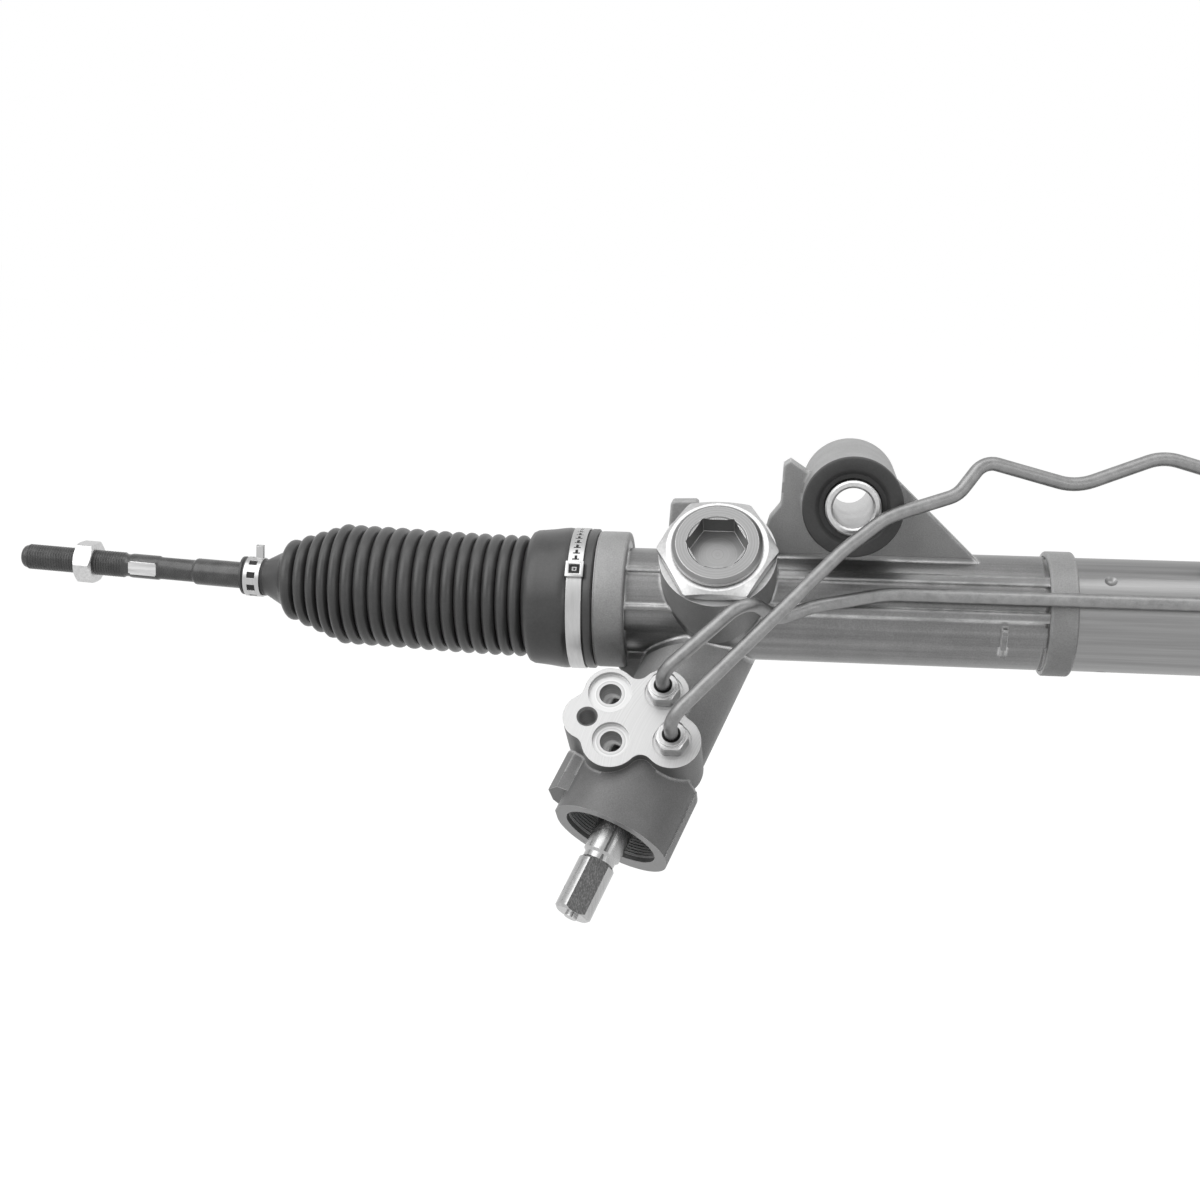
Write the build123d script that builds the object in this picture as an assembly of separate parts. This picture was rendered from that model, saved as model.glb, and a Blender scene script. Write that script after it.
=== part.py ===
from build123d import *
import os
from math import acos, cos, pi, radians, sin, tan

# Hydraulic rack and pinion steering gear for a car, about 1.2 m from rod end to rod end.
# Lengths are millimetres and angles are degrees. The shapes are built in a rack frame:
# X runs along the rack, Z is up, -Y is the front, and the origin is on the rack axis where
# the yoke presses on it. They are written out with the origin at the left mount bush.

# Fits between pieces
running_fit = 0.05
seat_fit = 0.04
soft_gap = 0.3
hex_corner_share = 0.565
hex_face_share = 0.475

# Layout of the axes
yoke_tilt = 42.0
pinion_skew = 21.0
mount_x = 65.7
mount_z = 58.6
rack_centre = 205.0
right_mount_x = 346.0
rod_rise = 3.24

# Rack and pinion teeth
gear_module = 1.8
pinion_teeth = 8
pressure_angle = 20.0
profile_shift = 0.55
pinion_addendum = 0.75
backlash = 0.15
tip_clearance = 0.45
pitch_line_height = 8.5
gear_half_width = 15.0
rack_gullets = 27

# Rack bar, piston and cylinder
rack_radius = 14.0
cylinder_radius = 29.0
cylinder_wall = 3.0
cylinder_start = 163.0
cylinder_end_depth = 60.0
cap_plug_start = 20.0
piston_x = 330.0
piston_width = 16.0
piston_clearance = 0.4
piston_ring_width = 5.0
piston_ring_depth = 3.0
bulkhead_x = 188.0
bulkhead_length = 18.0
rack_seal_radius = 20.0
rack_seal_length = 9.0
dimple_x = 194.2
dimple_angles = (40.0, 160.0, 280.0)
dimple_radius = 4.2
dimple_depth = 1.3

# Cast housing
tube_radius = 29.2
neck_radius = 27.5
tube_hollow_radius = 20.0
rack_way_radius = 15.2
bead_radius = 31.5
bead_start = 164.5
bead_end = 178.0
yoke_boss_radius = 29.5
yoke_boss_top = 50.5
pinion_case_radius = 26.5
rear_boss_radius = 18.5
valve_case_radius = 30.5
valve_case_drop = 5.0
valve_case_start = 98.0
rail_width = 5.0
rail_height = 2.0
rail_angles = (46.0, 81.0)
neck_rib_width = 3.0
neck_rib_angles = (43.0, 84.0)
web_thickness = 9.0
web_front_y = -10.0

# Ends that carry the boots, measured outward from the two end frames
collar_inner = 48.0
collar_outer = 63.5
collar_radius = 35.6
spigot_end = 97.4
spigot_radius = 31.0
socket_pocket_start = 55.5
socket_pocket_radius = 23.0
rack_bushing_length = 12.0
rack_bushing_radius = 18.0

# Yoke that presses the rack on the pinion, measured from the rack axis
yoke_radius = 20.4
yoke_foot = 5.0
yoke_top = 31.0
yoke_liner_thickness = 1.0
yoke_liner_width = 24.0
yoke_liner_half_angle = 62.0
spring_pocket_radius = 12.0
spring_pocket_depth = 10.0
spring_wire = 3.2
spring_turns = 3.5
plug_foot = 34.0
plug_top = 62.4
plug_radius = 22.3
plug_chamfer = 1.8
plug_hex_flats = 27.0
plug_hex_depth = 12.0
locknut_flats = 53.0
locknut_thickness = 7.5
locknut_corner_radius = 30.2
yoke_ring_radius = 1.4
yoke_ring_height = 24.0

# Pinion shaft, its bearings and the valve, as stations along the pinion axis
rear_boss_end = -40.0
pinion_nut_start = -34.0
pinion_nut_flats = 18.0
end_cap_flats = 24.0
lower_bearing_start = -28.0
lower_bearing_width = 8.0
lower_bearing_radius = 14.0
bearing_balls = 9
lower_journal_radius = 6.0
bearing_ball_radius = 2.4
pinion_cavity_radius = 10.3
pinion_cavity_half = 17.0
needle_start = 19.0
needle_length = 12.0
needle_radius = 14.0
upper_journal_radius = 9.0
pinion_seal_start = 33.0
pinion_seal_length = 6.0
pinion_seal_radius = 15.0
pinion_head_start = 44.0
pinion_head_end = 57.0
pinion_head_radius = 17.0
pinion_spigot_radius = 14.5
pinion_spigot_end = 61.0
valve_bore_radius = 20.0
valve_bore_start = 41.5
sleeve_radius = 19.6
sleeve_end = 97.0
sleeve_bore_radius = 12.0
sleeve_hole_radius = 1.3
sleeve_groove_width = 5.0
sleeve_groove_depth = 1.4
sleeve_ring_width = 2.4
sleeve_ring_depth = 2.0
spool_start = 62.0
spool_pilot_start = 48.0
spool_pilot_radius = 8.5
input_journal_radius = 10.0
input_bearing_start = 105.0
input_bearing_length = 8.0
input_bearing_radius = 22.0
input_seal_length = 5.0
snap_ring_thickness = 1.6
snap_ring_depth = 1.5
mouth_radius = 24.5
mouth_station = 136.0
stub_radius = 9.5
stub_neck_station = 149.0
stub_neck_radius = 8.2
stub_neck_length = 3.0
stub_end = 179.5
stub_flat_distance = 8.0
stub_flat_turn = -18.0
stub_pip_radius = 3.2
stub_pip_length = 1.8
torsion_radius = 4.0
torsion_waist_radius = 2.9
torsion_foot = 22.0
torsion_pin_radius = 2.0
torsion_pin_station = 170.0

# Port face of the valve case, above the pinion axis, with places along X and down the face
port_face_height = 36.0
port_block_foot = 2.0
pressure_port_at = (-51.1, 63.7)
return_port_at = (-48.7, 89.3)
line_bolt_at = (-61.4, 77.5)
near_line_at = (-24.2, 62.6)
far_line_at = (-18.4, 88.8)
port_counterbore_radius = 11.0
return_counterbore_radius = 9.3
port_counterbore_depth = 2.5
port_bore_radius = 5.6
port_bore_depth = 14.0
port_drill_radius = 3.8
line_bolt_radius = 4.25
line_bolt_depth = 18.0
port_lobe_radii = (13.2, 14.6, 12.4, 12.5, 14.2)
line_nut_flats = 15.0
line_nut_height = 8.0
line_nut_thread_radius = 6.4
line_nut_thread_depth = 10.0
line_spotface_radius = 9.6
line_spotface_depth = 0.8
line_drill_radius = 2.4

# Pipes between the valve and the cylinder
pipe_radius = 3.4
pipe_wall = 0.8
pipe_gap = 0.5
near_boss_x = 252.0
far_boss_x = 420.0
line_boss_radius = 9.0
line_boss_height = 17.0
near_boss_angle = 8.0
far_boss_angle = 52.0
pipe_run_angle = 65.0
pipe_run_start = 84.0

# Mount bushes
bush_bore_radius = 10.0
bush_sleeve_radius = 13.75
bush_half_length = 37.5
bush_rubber_radius = 20.0
bush_flange_radius = 25.0
bush_flange_thickness = 4.5
bush_boss_radius = 24.7
bush_boss_front = -31.5
bush_boss_back = 37.0
saddle_thickness = 4.0
saddle_half_width = 28.0
saddle_half_angle = 46.0
bracket_plate = 6.0
bracket_plate_y = 19.0

# Tie rods, from the centre of the ball
ball_reach = 148.3
ball_radius = 13.0
ball_seat_thickness = 1.9
socket_radius = 18.5
socket_back = 26.0
socket_front = 10.0
socket_stud_radius = 8.0
socket_stud_length = 20.0
socket_flats = 33.0
washer_thickness = 1.5
rod_neck_radius = 5.5
rod_radius = 7.2
rod_waist_radius = 6.1
rod_flat_radius = 6.6
rod_flat_across = 11.4
rod_thread_radius = 6.9
rod_gripped_thread_radius = 6.5
rod_free_thread_gap = 0.6
rod_neck_end = 24.0
rod_shoulder = 137.0
rod_flat_start = 158.0
rod_thread_start = 175.0
rod_tip = 236.3
jam_nut_start = 194.0
jam_nut_thickness = 10.5
jam_nut_flats = 21.0

# Boots
boot_pitch = 7.2
boot_inner_folds = 6
boot_outer_folds = 12
boot_taper_folds = 4
boot_crest_radius = 32.3
boot_fold_depth = 4.2
boot_taper_step = 2.55
boot_wall = 1.4
cuff_radius = 36.4
boot_neck_radius = 9.7
boot_neck_length = 12.5
boot_flare_length = 11.5
band_start = 69.0
band_width = 8.0
band_thickness = 0.8
clip_width = 9.0
clip_thickness = 1.0

# Values worked out from the sizes above
pitch_radius = gear_module * pinion_teeth / 2
centre_distance = pitch_radius + pitch_line_height
pinion_tip_radius = pitch_radius + gear_module * (pinion_addendum + profile_shift)
rack_reference = pitch_radius + gear_module * profile_shift
rack_tip_level = rack_reference - gear_module
rack_root_level = pinion_tip_radius + tip_clearance
pinion_root_radius = rack_tip_level - tip_clearance
tooth_pitch = pi * gear_module
bore_radius = cylinder_radius - cylinder_wall
locknut_top = yoke_boss_top + locknut_thickness
input_seal_start = input_bearing_start + input_bearing_length
snap_ring_start = input_seal_start + input_seal_length
mouth_floor = snap_ring_start
bush_flange_front = bush_boss_front - bush_flange_thickness
jam_nut_end = jam_nut_start + jam_nut_thickness
boot_folds = boot_inner_folds + boot_outer_folds
boot_start = ball_reach - boot_inner_folds * boot_pitch
boot_end = boot_outer_folds * boot_pitch
rack_teeth_half = rack_gullets / 2 * tooth_pitch / cos(radians(pinion_skew)) + 2
pipe_run_radius = bead_radius + pipe_radius + pipe_gap

# Directions and frames
tilt = radians(yoke_tilt)
skew = radians(pinion_skew)
along = Vector(1, 0, 0)
yoke_dir = Vector(0, -cos(tilt), sin(tilt))
face_down = Vector(0, -sin(tilt), -cos(tilt))
pinion_dir = face_down * cos(skew) - along * sin(skew)
pinion_foot = yoke_dir * -centre_distance
rack_line = Plane(origin=(0, 0, 0), x_dir=(0, 1, 0), z_dir=(1, 0, 0)).location
saddle_line = Plane(origin=(0, 0, 0), x_dir=yoke_dir, z_dir=(1, 0, 0)).location
yoke_line = Plane(origin=(0, 0, 0), x_dir=(1, 0, 0), z_dir=yoke_dir).location
pinion_line = Plane(origin=pinion_foot, x_dir=yoke_dir, z_dir=pinion_dir).location
port_origin = pinion_foot + yoke_dir * port_face_height
port_face = Plane(origin=port_origin, x_dir=(1, 0, 0), z_dir=yoke_dir).location


def end_line(side):
    """Frame of one end: local Z points outward along the rack."""
    return Plane(origin=(rack_centre * (1 + side), 0, 0), x_dir=(0, 1, 0), z_dir=(side, 0, 0)).location


def rod_dir(side):
    """Direction of a tie rod at rest, a little above level."""
    return Vector(side * cos(radians(rod_rise)), 0, sin(radians(rod_rise)))


def ball_centre(side):
    return Vector(rack_centre * (1 + side) + side * ball_reach, 0, 0)


def rod_line(side):
    """Frame of one tie rod: origin at the ball, local Z outward along the rod."""
    return Plane(origin=ball_centre(side), x_dir=(0, 1, 0), z_dir=rod_dir(side)).location


def bush_line(x):
    """Frame of a mount bush: local Z along Y, towards the back."""
    return Plane(origin=(x, 0, mount_z), x_dir=(1, 0, 0), z_dir=(0, 1, 0)).location


def port_place(at):
    """Frame on the port face at a place given along X and down the face."""
    return port_face * Pos(at[0], -at[1], 0)


def port_point(at, height):
    """Point at a height above the port face, over a place on it."""
    return pinion_foot + along * at[0] + face_down * at[1] + yoke_dir * (port_face_height + height)


def boss_dir(angle):
    """Direction of a pipe boss on the cylinder, turned forward from straight up."""
    return Vector(0, -sin(radians(angle)), cos(radians(angle)))


def boss_line(x, angle):
    return Plane(origin=(x, 0, 0), x_dir=(1, 0, 0), z_dir=boss_dir(angle)).location


# Shared operations
def drum(radius, start, end, place):
    """A cylinder between two stations on the local Z axis."""
    return place * Pos(0, 0, start) * extrude(Circle(radius), end - start)


def ring(outer, inner, start, end, place):
    return drum(outer, start, end, place) - drum(inner, start - 1, end + 1, place)


def rounded(outline, radius, *corners):
    """Round the corners of an outline that lie nearest to the given points."""
    for corner in corners:
        outline = fillet(outline.vertices().sort_by_distance(corner)[0], radius)
    return outline


def turned(profile, place, radius=0, corners=()):
    """Turn a closed outline of (radius, station) points about the local Z axis."""
    outline = make_face(Polyline(*profile, close=True))
    if corners:
        outline = rounded(outline, radius, *corners)
    return place * revolve(Plane.XZ * outline, Axis.Z)


def hexagon(flats, start, end, place, turn=0):
    """A hexagonal prism, sized across its flats."""
    outline = Rot(0, 0, turn) * RegularPolygon(flats / 2, 6, major_radius=False)
    return place * Pos(0, 0, start) * extrude(outline, end - start)


def hex_head(flats, start, end, place, corner_radius):
    """A hexagon whose corners are turned down to a cone at both faces."""
    face_radius = flats * hex_face_share
    bevel = (corner_radius - face_radius) * tan(radians(30))
    barrel = turned([(0, start), (face_radius, start), (corner_radius, start + bevel),
                     (corner_radius, end - bevel), (face_radius, end), (0, end)], place)
    return hexagon(flats, start - 1, end + 1, place) & barrel


def nut(flats, bore, start, end, place, corner_radius):
    return hex_head(flats, start, end, place, corner_radius) - drum(bore, start - 1, end + 1, place)


def group(pieces):
    """Several separate solids that share one node."""
    return Compound([solid for piece in pieces for solid in piece.solids()])


def drilled(radius, start, end):
    """A drilled hole between two points."""
    path = end - start
    return Plane(origin=start, z_dir=path).location * extrude(Circle(radius), path.length)


# Housing
def end_collar(side):
    """Collar and spigot that the boot slips over."""
    outer = [(0, collar_inner), (collar_radius, collar_inner), (collar_radius, collar_outer),
             (spigot_radius, collar_outer), (spigot_radius, spigot_end), (0, spigot_end)]
    return turned(outer, end_line(side), 4.0, [(collar_radius, collar_inner)])


def port_outline():
    """Lobed outline of the port face: a round lobe about each port, joined by soft hollows."""
    centres = (pressure_port_at, return_port_at, line_bolt_at, near_line_at, far_line_at)
    lobes = Sketch()
    for centre, radius in zip(centres, port_lobe_radii):
        lobes += Pos(centre[0], -centre[1]) * Circle(radius)
    middle = (line_bolt_at, return_port_at, far_line_at, near_line_at, pressure_port_at)
    lobes += make_face(Polyline(*[(x, -down) for x, down in middle], close=True))
    return offset(offset(lobes, 6.0), -6.0)


def valve_case():
    """Round case of the valve, deeper below, with the clamp pad on its left side."""
    section = Circle(valve_case_radius) + Pos(-valve_case_drop, 0) * Circle(valve_case_radius)
    section += Rectangle(valve_case_drop * 2, valve_case_radius * 2)
    case = pinion_line * Pos(0, 0, valve_case_start) * extrude(section, mouth_station - valve_case_start)
    pad = Polyline((16, 18), (14, 33), (4, 39), (-9, 38), (-22, 26), (-20, 10), close=True)
    pad_length = mouth_station - 9 - valve_case_start - 6
    return case + pinion_line * Pos(0, 0, valve_case_start + 6) * extrude(make_face(pad), pad_length)


def line_boss_bulge():
    """Rounded lobe under the far line's port, proud of the case."""
    radius = port_lobe_radii[4]
    depth = port_face_height + 8
    column = extrude(Circle(radius), -depth)
    column = fillet(column.edges().sort_by(Axis.Z)[0], radius * 0.6)
    return port_place(far_line_at) * column


def tube_rails():
    """Two cast rails along the front of the tube, with the pipe's hollow between them."""
    rails = Part()
    for angle in rail_angles:
        place = Plane(origin=(0, 0, 0), x_dir=(1, 0, 0), z_dir=boss_dir(angle)).location
        start = yoke_boss_radius - 4
        length = bead_start - start + 2
        rail = Box(length, rail_width, tube_radius + rail_height - 20,
                   align=(Align.MIN, Align.CENTER, Align.MIN))
        rails += place * Pos(start, 0, 20) * rail
    return rails


def neck_ribs():
    """Short ribs between the boot collar and the yoke boss."""
    ribs = Part()
    for angle in neck_rib_angles:
        place = Plane(origin=(0, 0, 0), x_dir=(1, 0, 0), z_dir=boss_dir(angle)).location
        height = neck_radius + 2.5 - 18
        rib = Box(collar_inner, neck_rib_width, height, align=(Align.MAX, Align.CENTER, Align.MIN))
        ribs += place * Pos(0, 0, 18) * rib
    return ribs


def mount_web():
    """Upright plate that carries the left bush, with its corner ear and long slope."""
    peak = mount_z + bush_boss_radius - 5.5
    outline = Polyline(
        (14, 10), (24.5, 48), (30, 55), (31, 75.4), (34.5, peak), (43.5, peak - 6),
        (mount_x, mount_z + bush_boss_radius - 1), (86.3, 70.3), (131, tube_radius - 2), (131, 10), close=True)
    plate = extrude(rounded(make_face(outline), 4.0, (24.5, 48), (30, 55)), web_thickness)
    return Plane(origin=(0, web_front_y + web_thickness, 0), x_dir=(1, 0, 0), z_dir=(0, -1, 0)).location * plate


def rear_lug():
    """Plain cast lug that stands behind the yoke boss."""
    outline = Polyline((-30, 10), (-27, 52.5), (-13, 53), (-8, 10), close=True)
    lug = extrude(rounded(make_face(outline), 2.0, (-27, 52.5), (-13, 53)), 9)
    return Plane(origin=(0, 14, 0), x_dir=(1, 0, 0), z_dir=(0, -1, 0)).location * lug


def gusset():
    """Web between the boot collar and the pinion case."""
    corner = -collar_inner
    outline = Polyline((corner - 8, -26), (corner - 4, -35), (corner + 5, -44), (corner + 14, -54),
                       (corner + 34, -30), (corner + 20, -18), close=True)
    web = extrude(make_face(outline), 10)
    return Plane(origin=(0, 0, 0), x_dir=(1, 0, 0), z_dir=(0, -1, 0)).location * web


def cross_rib():
    """Short rib across the tube below the pipe, just before the bead."""
    place = Plane(origin=(143, 0, 0), x_dir=(1, 0, 0), z_dir=boss_dir(108.0)).location
    return place * Pos(0, 0, 20) * Box(3, 16, tube_radius + 1.6 - 20, align=(Align.CENTER, Align.CENTER, Align.MIN))


def casting_body():
    """Outside of the cast housing, before any hole is bored."""
    body = drum(neck_radius, -collar_inner - 1, 0, rack_line)
    body += drum(tube_radius, 0, bead_end, rack_line)
    body += turned([(0, bead_start), (bead_radius, bead_start), (bead_radius, bead_end), (0, bead_end)],
                   rack_line, 2.0, [(bead_radius, bead_start), (bead_radius, bead_end)])
    body += end_collar(-1)
    body += drum(yoke_boss_radius, 0, yoke_boss_top, yoke_line)
    body += drum(pinion_case_radius, -6, valve_case_start + 1, pinion_line)
    body += drum(rear_boss_radius, rear_boss_end, 0, pinion_line)
    body += valve_case()
    body += port_face * Pos(0, 0, port_block_foot - port_face_height) * extrude(
        port_outline(), port_face_height - port_block_foot)
    body += line_boss_bulge()
    body += mount_web()
    body += drum(bush_boss_radius, bush_boss_front, bush_boss_back, bush_line(mount_x))
    body += rear_lug()
    body += gusset()
    body += tube_rails()
    body += neck_ribs()
    body += cross_rib()
    return body


def rack_bores():
    """Hollows along the rack: pocket, bushing seat, rack way and cylinder seat."""
    end = end_line(-1)
    hollow = drum(socket_pocket_radius, socket_pocket_start, spigot_end + 1, end)
    hollow += drum(rack_bushing_radius + seat_fit, socket_pocket_start - rack_bushing_length,
                   socket_pocket_start + 1, end)
    hollow += drum(rack_way_radius, -socket_pocket_start, bead_end, rack_line)
    hollow += drum(tube_hollow_radius, yoke_boss_radius + 8, cylinder_start, rack_line)
    hollow += drum(cylinder_radius + seat_fit, cylinder_start, bead_end + 1, rack_line)
    return hollow


def yoke_bores():
    hollow = drum(yoke_radius + running_fit, yoke_foot - 2, yoke_boss_top + 1, yoke_line)
    return hollow + drum(plug_radius + seat_fit, plug_foot - 2, yoke_boss_top + 1, yoke_line)


def pinion_bores():
    """Stepped bore from the rear cap, past the teeth, to the open mouth of the valve case."""
    lower_end = lower_bearing_start + lower_bearing_width
    hollow = drum(lower_bearing_radius + seat_fit, rear_boss_end - 1, lower_end, pinion_line)
    hollow += drum(lower_bearing_radius - 2, lower_end - 1, -pinion_cavity_half, pinion_line)
    hollow += drum(pinion_cavity_radius, lower_end, needle_start, pinion_line)
    hollow += drum(needle_radius + seat_fit, needle_start, needle_start + needle_length, pinion_line)
    hollow += drum(upper_journal_radius + 1.5, needle_start, valve_bore_start + 1, pinion_line)
    hollow += drum(pinion_seal_radius + seat_fit, pinion_seal_start, valve_bore_start + 1, pinion_line)
    hollow += drum(valve_bore_radius, valve_bore_start, input_bearing_start + 1, pinion_line)
    hollow += drum(input_bearing_radius + seat_fit, input_bearing_start, mouth_floor + 1, pinion_line)
    hollow += drum(mouth_radius, mouth_floor, mouth_station + 1, pinion_line)
    hollow += drum(mouth_radius + snap_ring_depth, snap_ring_start, snap_ring_start + snap_ring_thickness,
                   pinion_line)
    return hollow


def port_holes():
    """Ports, bolt hole and pipe seats in the port face, drilled through to the valve bore."""
    holes = Part()
    for at, wide in ((pressure_port_at, port_counterbore_radius), (return_port_at, return_counterbore_radius)):
        holes += drum(wide, -port_counterbore_depth, 1, port_place(at))
        holes += drum(port_bore_radius, -port_bore_depth, 1, port_place(at))
        foot = port_point(at, -port_bore_depth)
        station = (foot - pinion_foot).dot(pinion_dir)
        target = pinion_foot + pinion_dir * station + (foot - pinion_foot - pinion_dir * station) * 0.55
        holes += drilled(port_drill_radius, foot + yoke_dir * 0.5, target)
    holes += drum(line_bolt_radius, -line_bolt_depth, 1, port_place(line_bolt_at))
    holes += turned([(0, 0.5), (line_bolt_radius + 1.6, 0.5), (line_bolt_radius, -1.1), (0, -1.1)],
                    port_place(line_bolt_at))
    for at in (near_line_at, far_line_at):
        holes += drum(line_spotface_radius, -line_spotface_depth, 1, port_place(at))
        holes += drum(line_nut_thread_radius + seat_fit, -line_spotface_depth - line_nut_thread_depth - 1, 1,
                      port_place(at))
        holes += drum(line_drill_radius, valve_bore_radius * 0.5 - port_face_height, 0, port_place(at))
    return holes


def rack_housing():
    """One aluminium casting: rack tube, yoke boss, pinion and valve case, port block and mount."""
    body = casting_body() - rack_bores() - yoke_bores() - pinion_bores() - port_holes()
    return body - drum(bush_rubber_radius + seat_fit, bush_boss_front - 5, bush_boss_back + 1,
                       bush_line(mount_x))


# Cylinder and its ends
def cylinder_tube():
    """Steel tube of the power cylinder, with pipe holes and pressed dimples."""
    start = cylinder_start
    end = 2 * rack_centre + cylinder_end_depth
    tube = ring(cylinder_radius, bore_radius, start + seat_fit, end, rack_line)
    for x, angle in ((near_boss_x, near_boss_angle), (far_boss_x, far_boss_angle)):
        tube -= drum(line_drill_radius, bore_radius - 2, cylinder_radius + 2, boss_line(x, angle))
    for angle in dimple_angles:
        tube -= dimple(angle)
    return tube


def dimple(angle):
    """Round dent that locks the inner bulkhead."""
    height = cylinder_radius + dimple_radius - dimple_depth
    return boss_line(dimple_x, angle) * Pos(0, 0, height) * Sphere(dimple_radius)


def inner_bulkhead():
    """Aluminium plug inside the cylinder that closes the housing side of the oil space."""
    start = bulkhead_x
    end = bulkhead_x + bulkhead_length
    pocket = end - rack_seal_length
    return turned([(rack_radius + running_fit, start), (bore_radius - seat_fit, start),
                   (bore_radius - seat_fit, end), (rack_seal_radius + seat_fit, end),
                   (rack_seal_radius + seat_fit, pocket), (rack_radius + running_fit, pocket)], rack_line)


def rack_seal(start, end, place):
    """Lip seal on the rack bar, open towards the oil."""
    inner = rack_radius + running_fit
    return turned([(inner, start), (rack_seal_radius, start), (rack_seal_radius, end), (inner + 4, end),
                   (inner + 3, end - 4), (inner + 1.5, end - 4), (inner + 1, end - 0.5), (inner, end - 1)],
                  place)


def inner_rack_seal():
    end = bulkhead_x + bulkhead_length
    return rack_seal(end - rack_seal_length, end, rack_line)


def cylinder_end_cap():
    """Right end of the gear: plug inside the tube, skirt over it, and the collar for the boot."""
    plug = cap_plug_start
    slot = cylinder_end_depth + seat_fit
    seal_seat = rack_seal_radius + seat_fit
    profile = [(rack_radius + running_fit, plug + rack_seal_length), (seal_seat, plug + rack_seal_length),
               (seal_seat, plug), (bore_radius - seat_fit, plug),
               (bore_radius - seat_fit, slot), (cylinder_radius + seat_fit, slot),
               (cylinder_radius + seat_fit, collar_inner), (collar_radius, collar_inner),
               (collar_radius, collar_outer), (spigot_radius, collar_outer), (spigot_radius, spigot_end),
               (socket_pocket_radius, spigot_end), (socket_pocket_radius, socket_pocket_start),
               (rack_radius + running_fit, socket_pocket_start)]
    return turned(profile, end_line(1), 2.5, [(collar_radius, collar_inner)])


def outer_rack_seal():
    flipped = end_line(1) * Pos(0, 0, cap_plug_start + rack_seal_length) * Rot(180, 0, 0)
    return rack_seal(0, rack_seal_length, flipped)


def rack_bushing():
    """Plastic bushing that guides the toothed end of the rack."""
    end = socket_pocket_start
    return ring(rack_bushing_radius, rack_radius + running_fit, end - rack_bushing_length, end, end_line(-1))


def pipe_boss(x, angle):
    """Steel boss brazed on the tube, threaded for a pipe nut."""
    top = cylinder_radius + line_boss_height
    place = boss_line(x, angle)
    boss = drum(line_boss_radius, cylinder_radius - 8, top, place)
    boss -= drum(line_nut_thread_radius + seat_fit, top - line_nut_thread_depth - 1, top + 1, place)
    boss -= drum(line_drill_radius, 0, top, place)
    return boss - drum(cylinder_radius + seat_fit, x - 20, x + 20, rack_line)


def cylinder_port_bosses():
    return group([pipe_boss(near_boss_x, near_boss_angle), pipe_boss(far_boss_x, far_boss_angle)])


def right_mount_bracket():
    """Welded steel mount: saddle on the tube, two side plates and the bush tube."""
    x = right_mount_x
    arc = Circle(cylinder_radius + saddle_thickness) - Circle(cylinder_radius + seat_fit)
    reach = 60.0
    side = reach * tan(radians(saddle_half_angle))
    arc &= make_face(Polyline((0, 0), (side, reach), (-side, reach), close=True))
    saddle = rack_line * Pos(0, 0, x - saddle_half_width) * extrude(arc, 2 * saddle_half_width)
    low = cylinder_radius * cos(radians(saddle_half_angle)) + 4
    wide = saddle_half_width - 1
    outline = Polyline((x - wide, low), (x - 21, mount_z), (x + 21, mount_z), (x + wide, low), close=True)
    bracket = saddle
    for y in (-bracket_plate_y, bracket_plate_y):
        plate = extrude(make_face(outline), bracket_plate / 2, both=True)
        bracket += Plane(origin=(0, y, 0), x_dir=(1, 0, 0), z_dir=(0, -1, 0)).location * plate
    bracket += drum(bush_boss_radius, bush_boss_front, bush_boss_back, bush_line(x))
    bracket -= drum(bush_rubber_radius + seat_fit, bush_boss_front - 1, bush_boss_back + 1, bush_line(x))
    return bracket - drum(cylinder_radius + seat_fit, x - 60, x + 60, rack_line)


# Mount bushes
def bush_rubber(x):
    """Rubber of a mount bush, with a flange over the front of its boss."""
    inner = bush_sleeve_radius + seat_fit
    return turned([(inner, bush_flange_front), (bush_flange_radius, bush_flange_front),
                   (bush_flange_radius, bush_boss_front - seat_fit),
                   (bush_rubber_radius, bush_boss_front - seat_fit), (bush_rubber_radius, bush_boss_back),
                   (inner, bush_boss_back)], bush_line(x), 1.5, [(bush_flange_radius, bush_flange_front)])


def bush_sleeve(x):
    """Steel sleeve of a mount bush, chamfered inside and out."""
    half = bush_half_length
    outer = bush_sleeve_radius
    inner = bush_bore_radius
    return turned([(inner, 1 - half), (inner + 1, -half), (outer - 1, -half), (outer, 1 - half),
                   (outer, half - 1), (outer - 1, half), (inner + 1, half), (inner, half - 1)], bush_line(x))


# Yoke
def rack_yoke():
    """Aluminium plunger with a saddle for the rack and a pocket for its spring."""
    yoke = drum(yoke_radius, yoke_foot, yoke_top, yoke_line)
    saddle = rack_radius + running_fit + yoke_liner_thickness + seat_fit
    yoke -= drum(saddle, -yoke_radius - 1, yoke_radius + 1, rack_line)
    yoke -= drum(spring_pocket_radius, yoke_top - spring_pocket_depth, yoke_top + 1, yoke_line)
    groove = 2 * yoke_ring_radius + 0.2
    return yoke - ring(yoke_radius + 1, yoke_radius - groove, yoke_ring_height - groove / 2,
                       yoke_ring_height + groove / 2, yoke_line)


def yoke_liner():
    """Thin plastic liner between the yoke's saddle and the back of the rack."""
    inner = rack_radius + running_fit
    arc = Circle(inner + yoke_liner_thickness) - Circle(inner)
    reach = 30.0
    side = reach * tan(radians(yoke_liner_half_angle))
    arc &= make_face(Polyline((0, 0), (reach, side), (reach, -side), close=True))
    return saddle_line * extrude(arc, yoke_liner_width / 2, both=True)


def yoke_spring():
    """Coil spring between the yoke and its plug."""
    start = yoke_top - spring_pocket_depth + spring_wire / 2 + seat_fit
    end = plug_foot + spring_pocket_depth - spring_wire / 2 - seat_fit
    coil_radius = spring_pocket_radius - spring_wire / 2 - 1
    path = Helix((end - start) / spring_turns, end - start, coil_radius)
    wire = Plane(origin=path @ 0, z_dir=path % 0) * Circle(spring_wire / 2)
    return yoke_line * Pos(0, 0, start) * sweep(wire, path=path, is_frenet=True)


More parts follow.
